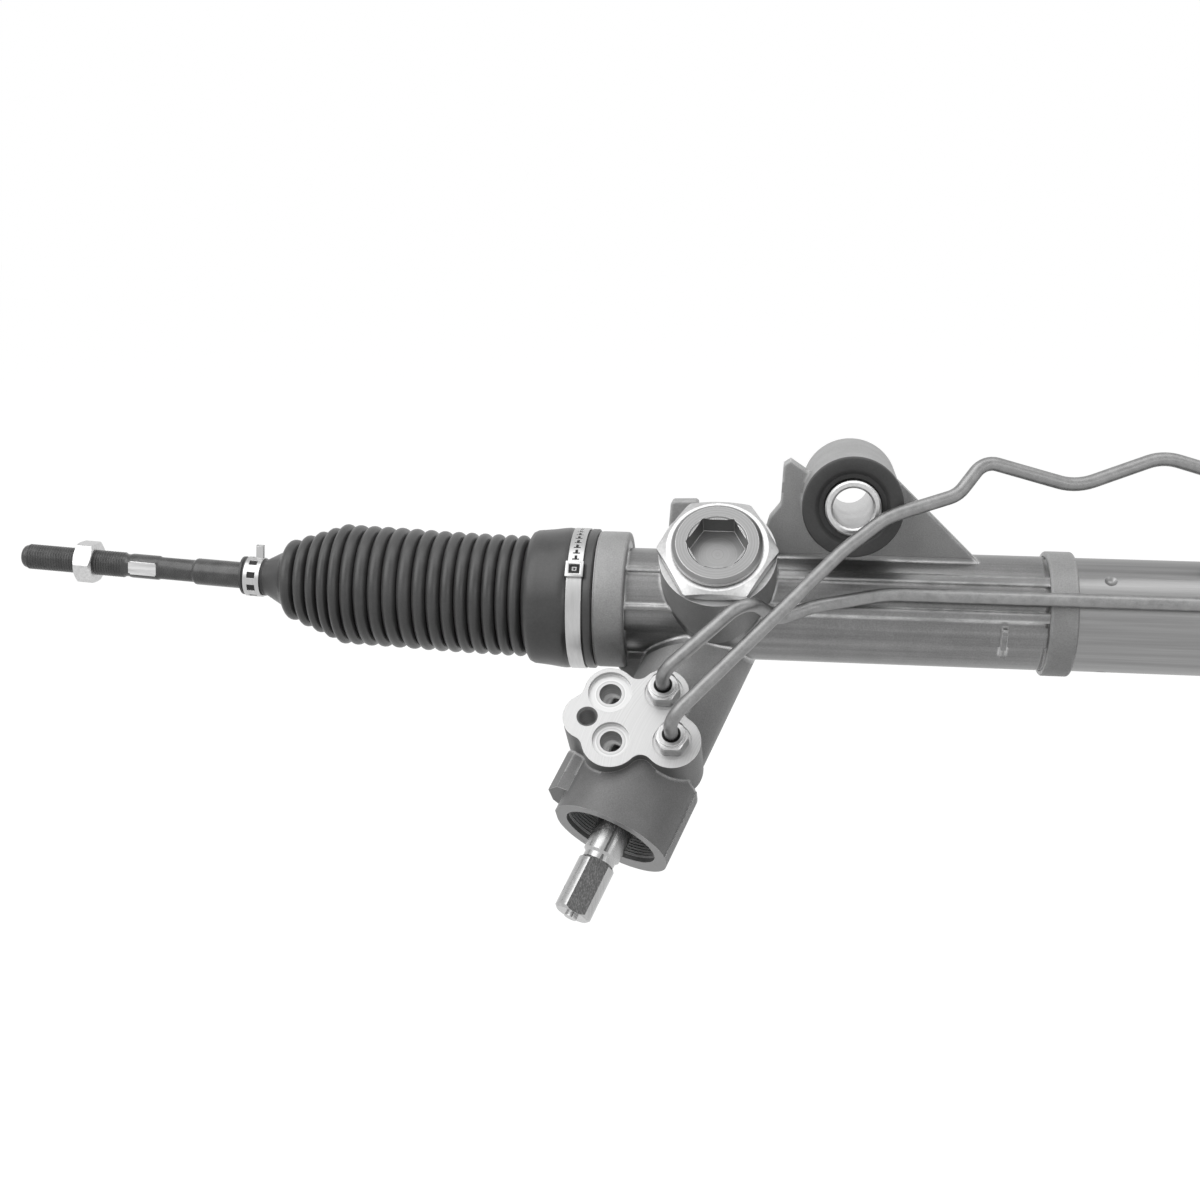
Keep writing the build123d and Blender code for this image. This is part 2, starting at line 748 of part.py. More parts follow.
def yoke_plug():
    """Screwed adjuster with a hexagon socket and a bevelled rim."""
    rim = plug_radius - plug_chamfer
    plug = turned([(0, plug_foot), (plug_radius - 1, plug_foot), (plug_radius, plug_foot + 1),
                   (plug_radius, plug_top - plug_chamfer), (rim, plug_top), (0, plug_top)], yoke_line)
    plug -= hexagon(plug_hex_flats, plug_top - plug_hex_depth, plug_top + 1, yoke_line)
    flare = plug_hex_flats / 2 + 1.6
    plug -= turned([(0, plug_top + 1), (flare + 1, plug_top + 1), (flare - 0.8, plug_top - 0.8),
                    (0, plug_top - 0.8)], yoke_line)
    return plug - drum(spring_pocket_radius, plug_foot - 1, plug_foot + spring_pocket_depth, yoke_line)


def yoke_locknut():
    """Large thin lock nut under the plug's rim."""
    start = yoke_boss_top + seat_fit
    return nut(locknut_flats, plug_radius + seat_fit, start, locknut_top, yoke_line, locknut_corner_radius)


def yoke_oring():
    major = yoke_radius - yoke_ring_radius
    return yoke_line * Pos(0, 0, yoke_ring_height) * Torus(major, yoke_ring_radius)


# Pinion and valve
def involute(angle):
    return tan(angle) - angle


def flank_points(count):
    """Points up one flank of a pinion tooth whose middle lies on the local X axis."""
    working = radians(pressure_angle)
    base_radius = pitch_radius * cos(working)
    at_pitch = (pi / 2 + 2 * profile_shift * tan(working)) / pinion_teeth
    points = []
    for step in range(count):
        radius = base_radius + (pinion_tip_radius - base_radius) * step / (count - 1)
        half = at_pitch + involute(working) - involute(acos(base_radius / radius))
        points.append((radius, half))
    return points


def polar(radius, angle):
    return (radius * cos(angle), radius * sin(angle))


def pinion_outline():
    """Outline of the pinion: eight involute teeth with radial roots."""
    flank = flank_points(7)
    root_half = flank[0][1]
    step = 2 * pi / pinion_teeth
    edges = []
    for tooth in range(pinion_teeth):
        middle = tooth * step
        rising = [polar(radius, middle - half) for radius, half in flank]
        falling = [polar(radius, middle + half) for radius, half in reversed(flank)]
        root_in = polar(pinion_root_radius, middle - root_half)
        root_out = polar(pinion_root_radius, middle + root_half)
        root_mid = polar(pinion_root_radius, middle + step / 2)
        root_next = polar(pinion_root_radius, middle + step - root_half)
        edges.append(Line(root_in, rising[0]))
        edges.append(Spline(*rising))
        edges.append(ThreePointArc(rising[-1], polar(pinion_tip_radius, middle), falling[0]))
        edges.append(Spline(*falling))
        edges.append(Line(falling[-1], root_out))
        edges.append(ThreePointArc(root_out, root_mid, root_next))
    return make_face(edges)


def pinion_gear():
    """Pinion shaft: toothed middle, two journals and the head that turns the valve sleeve."""
    teeth = pinion_line * extrude(pinion_outline(), gear_half_width, both=True)
    lower_end = lower_bearing_start + lower_bearing_width
    shaft = turned([(0, pinion_nut_start - 2), (lower_journal_radius, pinion_nut_start - 2),
                    (lower_journal_radius, lower_end + seat_fit), (pinion_root_radius + 1, lower_end + seat_fit),
                    (pinion_root_radius + 1, -gear_half_width), (pinion_root_radius, -gear_half_width),
                    (pinion_root_radius, gear_half_width), (upper_journal_radius, needle_start - 1),
                    (upper_journal_radius, pinion_head_start), (pinion_head_radius, pinion_head_start),
                    (pinion_head_radius, pinion_head_end), (pinion_spigot_radius, pinion_head_end),
                    (pinion_spigot_radius, pinion_spigot_end), (0, pinion_spigot_end)], pinion_line)
    shaft += teeth
    shaft -= drum(spool_pilot_radius + running_fit, spool_pilot_start - 1, pinion_spigot_end + 1, pinion_line)
    return shaft - drum(torsion_radius + running_fit, torsion_foot - 1, spool_pilot_start, pinion_line)


def pinion_nut():
    """Nut that holds the lower bearing on the pinion."""
    start = pinion_nut_start
    end = lower_bearing_start - seat_fit
    corner = pinion_nut_flats * hex_corner_share
    return nut(pinion_nut_flats, lower_journal_radius + seat_fit, start, end, pinion_line, corner)


def lower_ball_bearing():
    """Ball bearing: outer ring, inner ring and nine balls in their grooves."""
    start = lower_bearing_start
    end = start + lower_bearing_width
    middle = (start + end) / 2
    inner_radius = lower_journal_radius + running_fit
    track = (lower_bearing_radius + inner_radius) / 2
    groove = pinion_line * Pos(0, 0, middle) * Torus(track, bearing_ball_radius + running_fit)
    land = bearing_ball_radius * 0.55
    outer = ring(lower_bearing_radius, track + land, start, end, pinion_line) - groove
    inner = ring(track - land, inner_radius, start, end, pinion_line) - groove
    balls = []
    for index in range(bearing_balls):
        turn = Rot(0, 0, index * 360 / bearing_balls)
        balls.append(pinion_line * Pos(0, 0, middle) * turn * Pos(track, 0, 0) * Sphere(bearing_ball_radius))
    return group([outer, inner] + balls)


def pinion_end_cap():
    """Screwed cap at the rear of the pinion bore, with a hexagon head."""
    start = rear_boss_end
    flange = start - seat_fit
    cap = drum(lower_bearing_radius, flange, pinion_nut_start - 3, pinion_line)
    cap += drum(rear_boss_radius - 1, flange - 2, flange, pinion_line)
    cap += hex_head(end_cap_flats, flange - 6, flange - 2, pinion_line, end_cap_flats * hex_corner_share)
    return cap - drum(lower_bearing_radius - 3, start + 2, pinion_nut_start, pinion_line)


def upper_needle_bearing():
    return ring(needle_radius, upper_journal_radius + running_fit, needle_start + seat_fit,
                needle_start + needle_length, pinion_line)


def pinion_seal():
    """Lip seal between the gear space and the valve."""
    start = pinion_seal_start + seat_fit
    end = start + pinion_seal_length
    inner = upper_journal_radius + running_fit
    return turned([(inner, start), (pinion_seal_radius, start), (pinion_seal_radius, end),
                   (pinion_seal_radius - 1.5, end), (pinion_seal_radius - 1.5, start + 2), (inner + 1.5, start + 2),
                   (inner + 1.5, end - 1), (inner, end - 2)], pinion_line)


def fluid_stations():
    """Stations of the sleeve's three oil grooves: first line, pressure, second line."""
    stations = []
    for at in (near_line_at, pressure_port_at, far_line_at):
        offset = along * at[0] + face_down * at[1]
        stations.append(offset.dot(pinion_dir))
    return stations


def seal_stations():
    """Stations of the four rings, each side of every oil groove."""
    first, middle, last = fluid_stations()
    step = (last - first) / 4
    return [first - step, first + step, last - step, min(last + step, sleeve_end - 3)]


def valve_sleeve():
    """Rotary valve sleeve: oil grooves, ring grooves and radial holes."""
    start = pinion_head_end + seat_fit
    sleeve = ring(sleeve_radius, sleeve_bore_radius + running_fit, start, sleeve_end, pinion_line)
    sleeve -= drum(pinion_spigot_radius + seat_fit, start - 1, pinion_spigot_end + seat_fit, pinion_line)
    for station in fluid_stations():
        sleeve -= ring(sleeve_radius + 1, sleeve_radius - sleeve_groove_depth, station - sleeve_groove_width / 2,
                       station + sleeve_groove_width / 2, pinion_line)
        for turn in range(4):
            place = pinion_line * Pos(0, 0, station) * Rot(0, 0, turn * 90) * Rot(0, 90, 0)
            sleeve -= drum(sleeve_hole_radius, sleeve_bore_radius - 1, sleeve_radius, place)
    for station in seal_stations():
        sleeve -= ring(sleeve_radius + 1, sleeve_radius - sleeve_ring_depth, station - sleeve_ring_width / 2,
                       station + sleeve_ring_width / 2, pinion_line)
    return sleeve


def sleeve_rings():
    """Four square-section rings that seal the sleeve in its bore."""
    rings = []
    half = sleeve_ring_width / 2 - seat_fit
    for station in seal_stations():
        rings.append(ring(valve_bore_radius - running_fit, sleeve_radius - sleeve_ring_depth + seat_fit,
                          station - half, station + half, pinion_line))
    return group(rings)


def input_shaft():
    """Input shaft: slotted spool, bearing journal, neck groove and the flatted stub."""
    neck_low = stub_neck_station - stub_neck_length / 2
    neck_high = stub_neck_station + stub_neck_length / 2
    step = stub_radius - stub_neck_radius
    journal_end = mouth_floor + 2
    shaft = turned([(0, spool_pilot_start), (spool_pilot_radius, spool_pilot_start),
                    (spool_pilot_radius, spool_start), (sleeve_bore_radius, spool_start),
                    (sleeve_bore_radius, sleeve_end + 3), (input_journal_radius, sleeve_end + 3),
                    (input_journal_radius, journal_end), (stub_radius, journal_end + 1),
                    (stub_radius, neck_low - step), (stub_neck_radius, neck_low), (stub_neck_radius, neck_high),
                    (stub_radius, neck_high + step), (stub_radius, stub_end - 1.2), (stub_radius - 1.2, stub_end),
                    (stub_pip_radius, stub_end), (stub_pip_radius, stub_end + stub_pip_length),
                    (0, stub_end + stub_pip_length)], pinion_line)
    for turn in range(8):
        slot = Box(2.5, 3.0, sleeve_end - spool_start - 12)
        middle = (sleeve_end + spool_start) / 2
        shaft -= pinion_line * Pos(0, 0, middle) * Rot(0, 0, turn * 45) * Pos(sleeve_bore_radius, 0, 0) * slot
    flat = Box(5, 30, stub_end - neck_high + 5, align=(Align.MIN, Align.CENTER, Align.MIN))
    shaft -= pinion_line * Rot(0, 0, stub_flat_turn) * Pos(stub_flat_distance, 0, neck_high) * flat
    shaft -= drum(torsion_radius + seat_fit, spool_pilot_start - 1, torsion_pin_station + 6, pinion_line)
    return shaft - pin_across(torsion_pin_radius + seat_fit, stub_radius + 1)


def pin_across(radius, half):
    """Cross pin through the top of the torsion bar, square to the stub's flat."""
    turn = Rot(0, 0, stub_flat_turn + 90)
    place = pinion_line * Pos(0, 0, torsion_pin_station) * turn * Rot(0, 90, 0)
    return drum(radius, -half, half, place)


def torsion_bar():
    """Torsion bar: thick ends joined by the thin part that twists."""
    end = torsion_pin_station + 5
    bar = turned([(0, torsion_foot), (torsion_radius, torsion_foot), (torsion_radius, torsion_foot + 16),
                  (torsion_waist_radius, torsion_foot + 20), (torsion_waist_radius, end - 20),
                  (torsion_radius, end - 16), (torsion_radius, end), (0, end)], pinion_line)
    return bar - pin_across(torsion_pin_radius + seat_fit, torsion_radius + 1)


def torsion_pin():
    return pin_across(torsion_pin_radius, stub_radius - 0.6)


def input_bearing():
    """Bearing that carries the input shaft."""
    return ring(input_bearing_radius, input_journal_radius + running_fit, input_bearing_start + seat_fit,
                input_seal_start, pinion_line)


def input_seal():
    """Rubber seal that closes the valve at the bottom of the mouth."""
    start = input_seal_start + seat_fit
    end = snap_ring_start - seat_fit
    inner = input_journal_radius + running_fit
    return turned([(inner, start), (input_bearing_radius, start), (input_bearing_radius, end),
                   (input_bearing_radius - 2, end), (input_bearing_radius - 3, end - 1.5), (inner + 2.5, end - 1.5),
                   (inner + 1, end), (inner, end)], pinion_line)


def mouth_snap_ring():
    """Split ring in the mouth's groove that keeps the seal in."""
    outer = mouth_radius + snap_ring_depth - seat_fit
    body = ring(outer, input_bearing_radius - 1.5, snap_ring_start + seat_fit,
                snap_ring_start + snap_ring_thickness - seat_fit, pinion_line)
    gap = Box(10, 7, 8)
    return body - pinion_line * Pos(-outer, 0, snap_ring_start) * gap


# Rack bar and piston
def tooth_gullet(index):
    """Space between two rack teeth, cut along the pinion's direction."""
    slope = tan(radians(pressure_angle))
    half = (tooth_pitch / 2 + backlash) / 2
    high = rack_tip_level - 1
    low = rack_root_level
    wide = half + (rack_reference - high) * slope
    narrow = half - (low - rack_reference) * slope
    profile = make_face(Polyline((high, -wide), (low, -narrow), (low, narrow), (high, wide), close=True))
    reach = rack_radius + rack_teeth_half * sin(skew) + 4
    return pinion_line * Pos(0, index * tooth_pitch, 0) * extrude(profile, reach, both=True)


def rack_bar():
    """Round rack bar with slanted teeth over the pinion and threaded ends for the ball sockets."""
    left = -(ball_reach - socket_back - washer_thickness)
    right = 2 * rack_centre - left
    bar = drum(rack_radius, left, right, rack_line)
    flat_level = centre_distance - rack_tip_level
    flat = Box(rack_radius, 4 * rack_radius, 2 * rack_teeth_half, align=(Align.MAX, Align.CENTER, Align.CENTER))
    bar -= saddle_line * Pos(-flat_level, 0, 0) * flat
    half_count = rack_gullets // 2
    bar -= [tooth_gullet(index) for index in range(-half_count, half_count + 1)]
    hole = socket_stud_length + 2
    bar -= drum(socket_stud_radius + seat_fit, left - 1, left + hole, rack_line)
    return bar - drum(socket_stud_radius + seat_fit, right - hole, right + 1, rack_line)


def piston():
    """Piston on the bar, grooved for its ring."""
    half = piston_width / 2
    outer = bore_radius - piston_clearance
    body = ring(outer, rack_radius + seat_fit, piston_x - half, piston_x + half, rack_line)
    groove = piston_ring_width / 2
    return body - ring(bore_radius, bore_radius - piston_ring_depth, piston_x - groove, piston_x + groove,
                       rack_line)


def piston_ring():
    half = piston_ring_width / 2 - seat_fit
    return ring(bore_radius - running_fit, bore_radius - piston_ring_depth + seat_fit, piston_x - half,
                piston_x + half, rack_line)


# Tie rods
def ball_socket(side):
    """Steel socket screwed into the rack's end, with spanner flats and the ball's cavity."""
    place = end_line(side) * Pos(0, 0, ball_reach)
    back = -socket_back
    body = turned([(0, back), (socket_radius - 2, back), (socket_radius, back + 2), (socket_radius, 4),
                   (socket_radius - 3, socket_front), (0, socket_front)], place)
    body += drum(socket_stud_radius, back - washer_thickness - socket_stud_length, back + 1, place)
    flats = Box(4 * socket_radius, 4 * socket_radius, 9) - Box(socket_flats, 4 * socket_radius, 9)
    body -= place * Pos(0, 0, back + 6) * flats
    cavity = ball_radius + running_fit + ball_seat_thickness + seat_fit
    return body - place * Sphere(cavity)


def ball_seat(side):
    """Plastic seat between the ball and its socket."""
    place = end_line(side) * Pos(0, 0, ball_reach)
    inner = ball_radius + running_fit
    shell = Sphere(inner + ball_seat_thickness) - Sphere(inner)
    slab = Pos(0, 0, -12) * Box(60, 60, 20.5, align=(Align.CENTER, Align.CENTER, Align.MIN))
    return place * (shell & slab)


def lock_washer(side):
    """Washer between the rack's end and the socket."""
    start = ball_reach - socket_back - washer_thickness + seat_fit
    end = ball_reach - socket_back - seat_fit
    return ring(rack_radius + 2, socket_stud_radius + seat_fit, start, end, end_line(side))


def tie_rod(side):
    """Inner tie rod: ball, neck, shank, spanner flats and thread, at its mean radius up to the nut."""
    place = rod_line(side)
    rod = place * Sphere(ball_radius)
    rod += turned([(0, 0), (rod_neck_radius, 0), (rod_neck_radius, rod_neck_end - 6),
                   (rod_radius, rod_neck_end), (rod_radius, rod_shoulder), (rod_waist_radius, rod_shoulder + 1.5),
                   (rod_waist_radius, rod_flat_start), (rod_flat_radius, rod_flat_start + 1),
                   (rod_flat_radius, rod_thread_start - 1), (rod_waist_radius, rod_thread_start),
                   (rod_waist_radius, rod_thread_start + 2),
                   (rod_gripped_thread_radius, rod_thread_start + 3),
                   (rod_gripped_thread_radius, jam_nut_end + rod_free_thread_gap / 2),
                   (rod_thread_radius, jam_nut_end + rod_free_thread_gap),
                   (rod_thread_radius, rod_tip - 1.5), (rod_thread_radius - 1.5, rod_tip), (0, rod_tip)], place)
    length = rod_thread_start - rod_flat_start - 3
    flats = Box(30, 30, length) - Box(30, rod_flat_across, length)
    return rod - place * Pos(0, 0, (rod_thread_start + rod_flat_start) / 2) * Rot(0, 0, 90) * flats


def jam_nut(side):
    """Nut that locks the outer rod end."""
    corner = jam_nut_flats * hex_corner_share
    bore = rod_gripped_thread_radius + seat_fit
    return nut(jam_nut_flats, bore, jam_nut_start, jam_nut_end, rod_line(side), corner)


# Boots and their clamps
def bellows_edges(start, inset, crests):
    """A chain of round folds from a station outward, one per crest radius."""
    edges = []
    for index, crest in enumerate(crests):
        low = start + index * boot_pitch
        valley_in = min(crest, crests[max(index - 1, 0)]) - boot_fold_depth - inset
        valley_out = min(crest, crests[min(index + 1, len(crests) - 1)]) - boot_fold_depth - inset
        swell = (8 * (crest - inset) - valley_in - valley_out) / 6
        high = low + boot_pitch
        edges.append(Bezier((valley_in, low), (swell, low), (swell, high), (valley_out, high)))
    return edges


def crest_radii(first, count):
    """Crest radius of each fold: full size, then smaller towards the rod."""
    full = boot_folds - boot_taper_folds - 1
    return [boot_crest_radius - boot_taper_step * max(0, first + index - full) for index in range(count)]


def boot_cuff_side(side):
    """Wide half of a boot: cuff on the spigot and the folds up to the ball's plane."""
    crests = crest_radii(0, boot_inner_folds)
    valley = crests[0] - boot_fold_depth
    inner = spigot_radius + seat_fit
    cuff_end = spigot_end + 2
    outside = bellows_edges(boot_start, 0, crests)
    inside = bellows_edges(boot_start, boot_wall, crests)
    foot = collar_outer + soft_gap
    overlap = ball_reach + 6
    rim = [(valley, boot_start), (cuff_radius - 1.5, cuff_end), (cuff_radius, band_start + band_width),
           (cuff_radius, foot), (inner, foot), (inner, spigot_end + soft_gap),
           (valley - boot_wall, boot_start)]
    last = [outside[-1] @ 1, (valley, overlap), (valley - boot_wall, overlap), inside[-1] @ 1]
    outline = make_face(outside + inside + [Polyline(*rim), Polyline(*last)])
    return end_line(side) * revolve(Plane.XZ * outline, Axis.Z)


def boot_rod_side(side):
    """Narrow half of a boot: the folds past the ball, the flare and the neck on the rod."""
    crests = crest_radii(boot_inner_folds, boot_outer_folds)
    valley = boot_crest_radius - boot_fold_depth
    outside = bellows_edges(0, 0, crests)
    inside = bellows_edges(0, boot_wall, crests)
    neck_start = boot_end + boot_flare_length
    neck_end = neck_start + boot_neck_length
    neck_inner = rod_radius + soft_gap
    first = [inside[0] @ 0, (valley - boot_wall, -6), (valley, -6), outside[0] @ 0]
    neck = [outside[-1] @ 1, (boot_neck_radius + 3, neck_start - 2), (boot_neck_radius, neck_start),
            (boot_neck_radius, neck_end), (neck_inner, neck_end), (neck_inner, neck_start - 2),
            inside[-1] @ 1]
    outline = make_face(outside + inside + [Polyline(*first), Polyline(*neck)])
    return rod_line(side) * revolve(Plane.XZ * outline, Axis.Z)


def boot(side):
    """Bellows boot, mitred where the rod's slope leaves the rack's line."""
    half_turn = rod_rise / 2
    joint = Plane(origin=ball_centre(side), x_dir=(0, 1, 0),
                  z_dir=(side * cos(radians(half_turn)), 0, sin(radians(half_turn)))).location
    block = Box(120, 120, 200, align=(Align.CENTER, Align.CENTER, Align.MIN))
    wide = boot_cuff_side(side) - joint * block
    narrow = boot_rod_side(side) & joint * block
    return wide + narrow


def boot_band(side):
    """Stainless band round the cuff, with its square buckle at the upper front."""
    inner = cuff_radius + seat_fit
    outer = inner + band_thickness
    place = end_line(side)
    band = ring(outer, inner, band_start, band_start + band_width, place)
    buckle = Box(3.0, 9.0, band_width + 1.6, align=(Align.MIN, Align.CENTER, Align.CENTER))
    turn = Rot(0, 0, 180 + side * 38)
    return band + place * Pos(0, 0, band_start + band_width / 2) * turn * Pos(outer - 0.4, 0, 0) * buckle


def boot_clip(side):
    """Small clamp on the boot's neck, with its pinched ear."""
    inner = boot_neck_radius + seat_fit
    outer = inner + clip_thickness
    start = boot_end + boot_flare_length + 1.5
    place = rod_line(side)
    clip = ring(outer, inner, start, start + clip_width, place)
    ear = Box(7.0, 2.4, clip_width * 0.55, align=(Align.MIN, Align.CENTER, Align.CENTER))
    turn = Rot(0, 0, side * 90)
    return clip + place * Pos(0, 0, start + clip_width / 2) * turn * Pos(outer - 0.3, 0, 0) * ear


# Pipes
def pipe(points, radii):
    """Steel pipe along straight runs joined by bends."""
    path = FilletPolyline(*points, radius=radii)
    hollow = Circle(pipe_radius) - Circle(pipe_radius - pipe_wall)
    return sweep(Plane(origin=path @ 0, z_dir=path % 0) * hollow, path=path)


def boss_point(x, angle, radius):
    return Vector(x, 0, 0) + boss_dir(angle) * radius


def near_pipe():
    """High pipe from the lower port, over the mount, to the boss nearest the valve."""
    seat = -line_spotface_depth - line_nut_thread_depth
    nut_base = cylinder_radius + line_boss_height - line_nut_thread_depth
    points = [port_point(far_line_at, seat), port_point(far_line_at, 26),
              Vector(mount_x - 5, -52, mount_z - 18.4), Vector(mount_x + 16, -43, mount_z - 2.7),
              Vector(mount_x + 50, -35, mount_z + 7.6), Vector(mount_x + 62, -31, mount_z + 24),
              Vector(mount_x + 108, -20, mount_z + 10.5), Vector(mount_x + 150, -10, mount_z + 25),
              boss_point(near_boss_x, near_boss_angle, 74), boss_point(near_boss_x, near_boss_angle, nut_base)]
    return pipe(points, [11, 60, 40, 14, 10, 30, 24, 9])


def far_pipe():
    """Low pipe from the upper port, round the yoke boss and along the front to the far boss."""
    seat = -line_spotface_depth - line_nut_thread_depth
    nut_base = cylinder_radius + line_boss_height - line_nut_thread_depth
    run = pipe_run_angle
    crown = cylinder_radius + line_boss_height + 23
    points = [port_point(near_line_at, seat), port_point(near_line_at, 22), Vector(15.5, -67, 18.5),
              Vector(31, -46, 4.0), Vector(48, *boss_run(run + 12)), Vector(pipe_run_start, *boss_run(run)),
              Vector(far_boss_x - 62, *boss_run(run)), boss_point(far_boss_x - 34, far_boss_angle, crown),
              boss_point(far_boss_x, far_boss_angle, crown),
              boss_point(far_boss_x, far_boss_angle, nut_base)]
    return pipe(points, [11, 13, 12, 20, 60, 24, 16, 10])


def boss_run(angle):
    """Height and depth of the pipe where it lies along the tube, at an angle from straight up."""
    point = boss_dir(angle) * pipe_run_radius
    return (point.Y, point.Z)


def line_nut(place, base):
    """Tube nut: thread in its port, hexagon above it and a round shoulder round the pipe."""
    foot = base - line_nut_thread_depth
    top = base + line_nut_height
    body = hex_head(line_nut_flats, base + seat_fit, top, place, line_nut_flats / 2 + 0.7)
    body += drum(line_nut_thread_radius, foot, base + seat_fit, place)
    body += drum(line_nut_flats / 2 - 1, top, top + 1.5, place)
    return body - drum(pipe_radius + seat_fit, foot - 1, top + 3, place)


def line_nuts():
    """The four tube nuts that hold the pipes."""
    base = cylinder_radius + line_boss_height
    nuts = [line_nut(port_place(at), -line_spotface_depth) for at in (near_line_at, far_line_at)]
    nuts.append(line_nut(boss_line(near_boss_x, near_boss_angle), base))
    nuts.append(line_nut(boss_line(far_boss_x, far_boss_angle), base))
    return group(nuts)


# Write every piece as a file of its own
sides = {"left": -1, "right": 1}
pieces = {
    "rack_housing": rack_housing(),
    "cylinder_tube": cylinder_tube(),
    "inner_bulkhead": inner_bulkhead(),
    "inner_rack_seal": inner_rack_seal(),
    "cylinder_end_cap": cylinder_end_cap(),
    "outer_rack_seal": outer_rack_seal(),
    "rack_bushing": rack_bushing(),
    "cylinder_port_bosses": cylinder_port_bosses(),
    "right_mount_bracket": right_mount_bracket(),
    "left_bush_rubber": bush_rubber(mount_x),
    "left_bush_sleeve": bush_sleeve(mount_x),
    "right_bush_rubber": bush_rubber(right_mount_x),
    "right_bush_sleeve": bush_sleeve(right_mount_x),
    "rack_yoke": rack_yoke(),
    "yoke_liner": yoke_liner(),
    "yoke_spring": yoke_spring(),
    "yoke_plug": yoke_plug(),
    "yoke_locknut": yoke_locknut(),
    "yoke_oring": yoke_oring(),
    "pinion_gear": pinion_gear(),
    "pinion_nut": pinion_nut(),
    "lower_ball_bearing": lower_ball_bearing(),
    "pinion_end_cap": pinion_end_cap(),
    "upper_needle_bearing": upper_needle_bearing(),
    "pinion_seal": pinion_seal(),
    "valve_sleeve": valve_sleeve(),
    "sleeve_rings": sleeve_rings(),
    "input_shaft": input_shaft(),
    "torsion_bar": torsion_bar(),
    "torsion_pin": torsion_pin(),
    "input_bearing": input_bearing(),
    "input_seal": input_seal(),
    "mouth_snap_ring": mouth_snap_ring(),
    "rack_bar": rack_bar(),
    "piston": piston(),
    "piston_ring": piston_ring(),
    "near_pipe": near_pipe(),
    "far_pipe": far_pipe(),
    "line_nuts": line_nuts(),
}
for name, side in sides.items():
    pieces[name + "_ball_socket"] = ball_socket(side)
    pieces[name + "_ball_seat"] = ball_seat(side)
    pieces[name + "_lock_washer"] = lock_washer(side)
    pieces[name + "_tie_rod"] = tie_rod(side)
    pieces[name + "_jam_nut"] = jam_nut(side)
    pieces[name + "_boot"] = boot(side)
    pieces[name + "_boot_band"] = boot_band(side)
    pieces[name + "_boot_clip"] = boot_clip(side)

os.makedirs("parts", exist_ok=True)
to_mount = Pos(-mount_x, 0, -mount_z)
for name, piece in pieces.items():
    export_step(to_mount * piece, "parts/" + name + ".step")
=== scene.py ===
import math

import bmesh
import bpy
from mathutils import Matrix, Vector
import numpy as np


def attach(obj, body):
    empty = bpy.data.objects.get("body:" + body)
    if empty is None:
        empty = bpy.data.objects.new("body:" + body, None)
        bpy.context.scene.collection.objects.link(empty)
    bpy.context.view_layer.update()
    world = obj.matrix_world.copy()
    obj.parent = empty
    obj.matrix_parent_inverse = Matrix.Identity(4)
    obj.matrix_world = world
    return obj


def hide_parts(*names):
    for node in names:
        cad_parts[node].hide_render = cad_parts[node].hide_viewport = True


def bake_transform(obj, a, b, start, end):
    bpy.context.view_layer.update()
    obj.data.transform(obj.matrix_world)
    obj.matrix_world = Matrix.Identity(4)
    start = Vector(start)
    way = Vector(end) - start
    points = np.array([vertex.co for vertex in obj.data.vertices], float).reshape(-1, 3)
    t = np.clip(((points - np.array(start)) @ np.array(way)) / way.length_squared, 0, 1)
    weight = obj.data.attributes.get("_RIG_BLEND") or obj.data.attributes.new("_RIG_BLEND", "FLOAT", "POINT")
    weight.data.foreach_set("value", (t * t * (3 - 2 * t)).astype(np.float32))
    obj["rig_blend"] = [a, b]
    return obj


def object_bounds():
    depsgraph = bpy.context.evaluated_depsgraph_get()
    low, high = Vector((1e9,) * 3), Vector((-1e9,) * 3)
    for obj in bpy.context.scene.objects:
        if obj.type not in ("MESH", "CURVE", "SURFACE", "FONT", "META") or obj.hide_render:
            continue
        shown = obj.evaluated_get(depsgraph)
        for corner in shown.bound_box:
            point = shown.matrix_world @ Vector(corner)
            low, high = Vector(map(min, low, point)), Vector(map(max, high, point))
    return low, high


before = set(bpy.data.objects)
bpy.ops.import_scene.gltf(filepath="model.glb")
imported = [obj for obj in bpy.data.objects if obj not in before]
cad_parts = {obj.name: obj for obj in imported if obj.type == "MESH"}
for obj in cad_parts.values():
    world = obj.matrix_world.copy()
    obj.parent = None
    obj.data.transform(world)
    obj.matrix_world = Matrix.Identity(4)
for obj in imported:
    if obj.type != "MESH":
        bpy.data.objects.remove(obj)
cad_low, cad_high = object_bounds()


# Studio. A white floor and backdrop, which metal mirrors too, under a soft tent of light. The
# camera stands where the photograph was taken from: left of the middle, looking down a little.
mm = 0.001
camera_azimuth, camera_elevation, camera_roll = math.radians(7.13), math.radians(13.57), math.radians(0.25)
photo_side, focal_pixels, sensor = 1200, 1561, 36
back = Vector((math.sin(camera_azimuth) * math.cos(camera_elevation),
               -math.cos(camera_azimuth) * math.cos(camera_elevation), math.sin(camera_elevation)))
right = (-back).cross(Vector((0, 0, 1))).normalized()
up = right.cross(-back)
turned_right = right * math.cos(camera_roll) + up * math.sin(camera_roll)
turned_up = up * math.cos(camera_roll) - right * math.sin(camera_roll)
lens = bpy.data.cameras.new("camera")
lens.sensor_width = sensor
lens.lens = sensor * focal_pixels / photo_side
lens.clip_start, lens.clip_end = 0.05, 60
camera = bpy.data.objects.new("camera", lens)
camera.matrix_world = Matrix.Translation((-29.3 * mm, -799.4 * mm, 135.1 * mm)) @ Matrix(
    (turned_right, turned_up, back)).transposed().to_4x4()
bpy.context.collection.objects.link(camera)
bpy.context.scene.camera = camera
bpy.context.scene.view_settings.view_transform = "Standard"


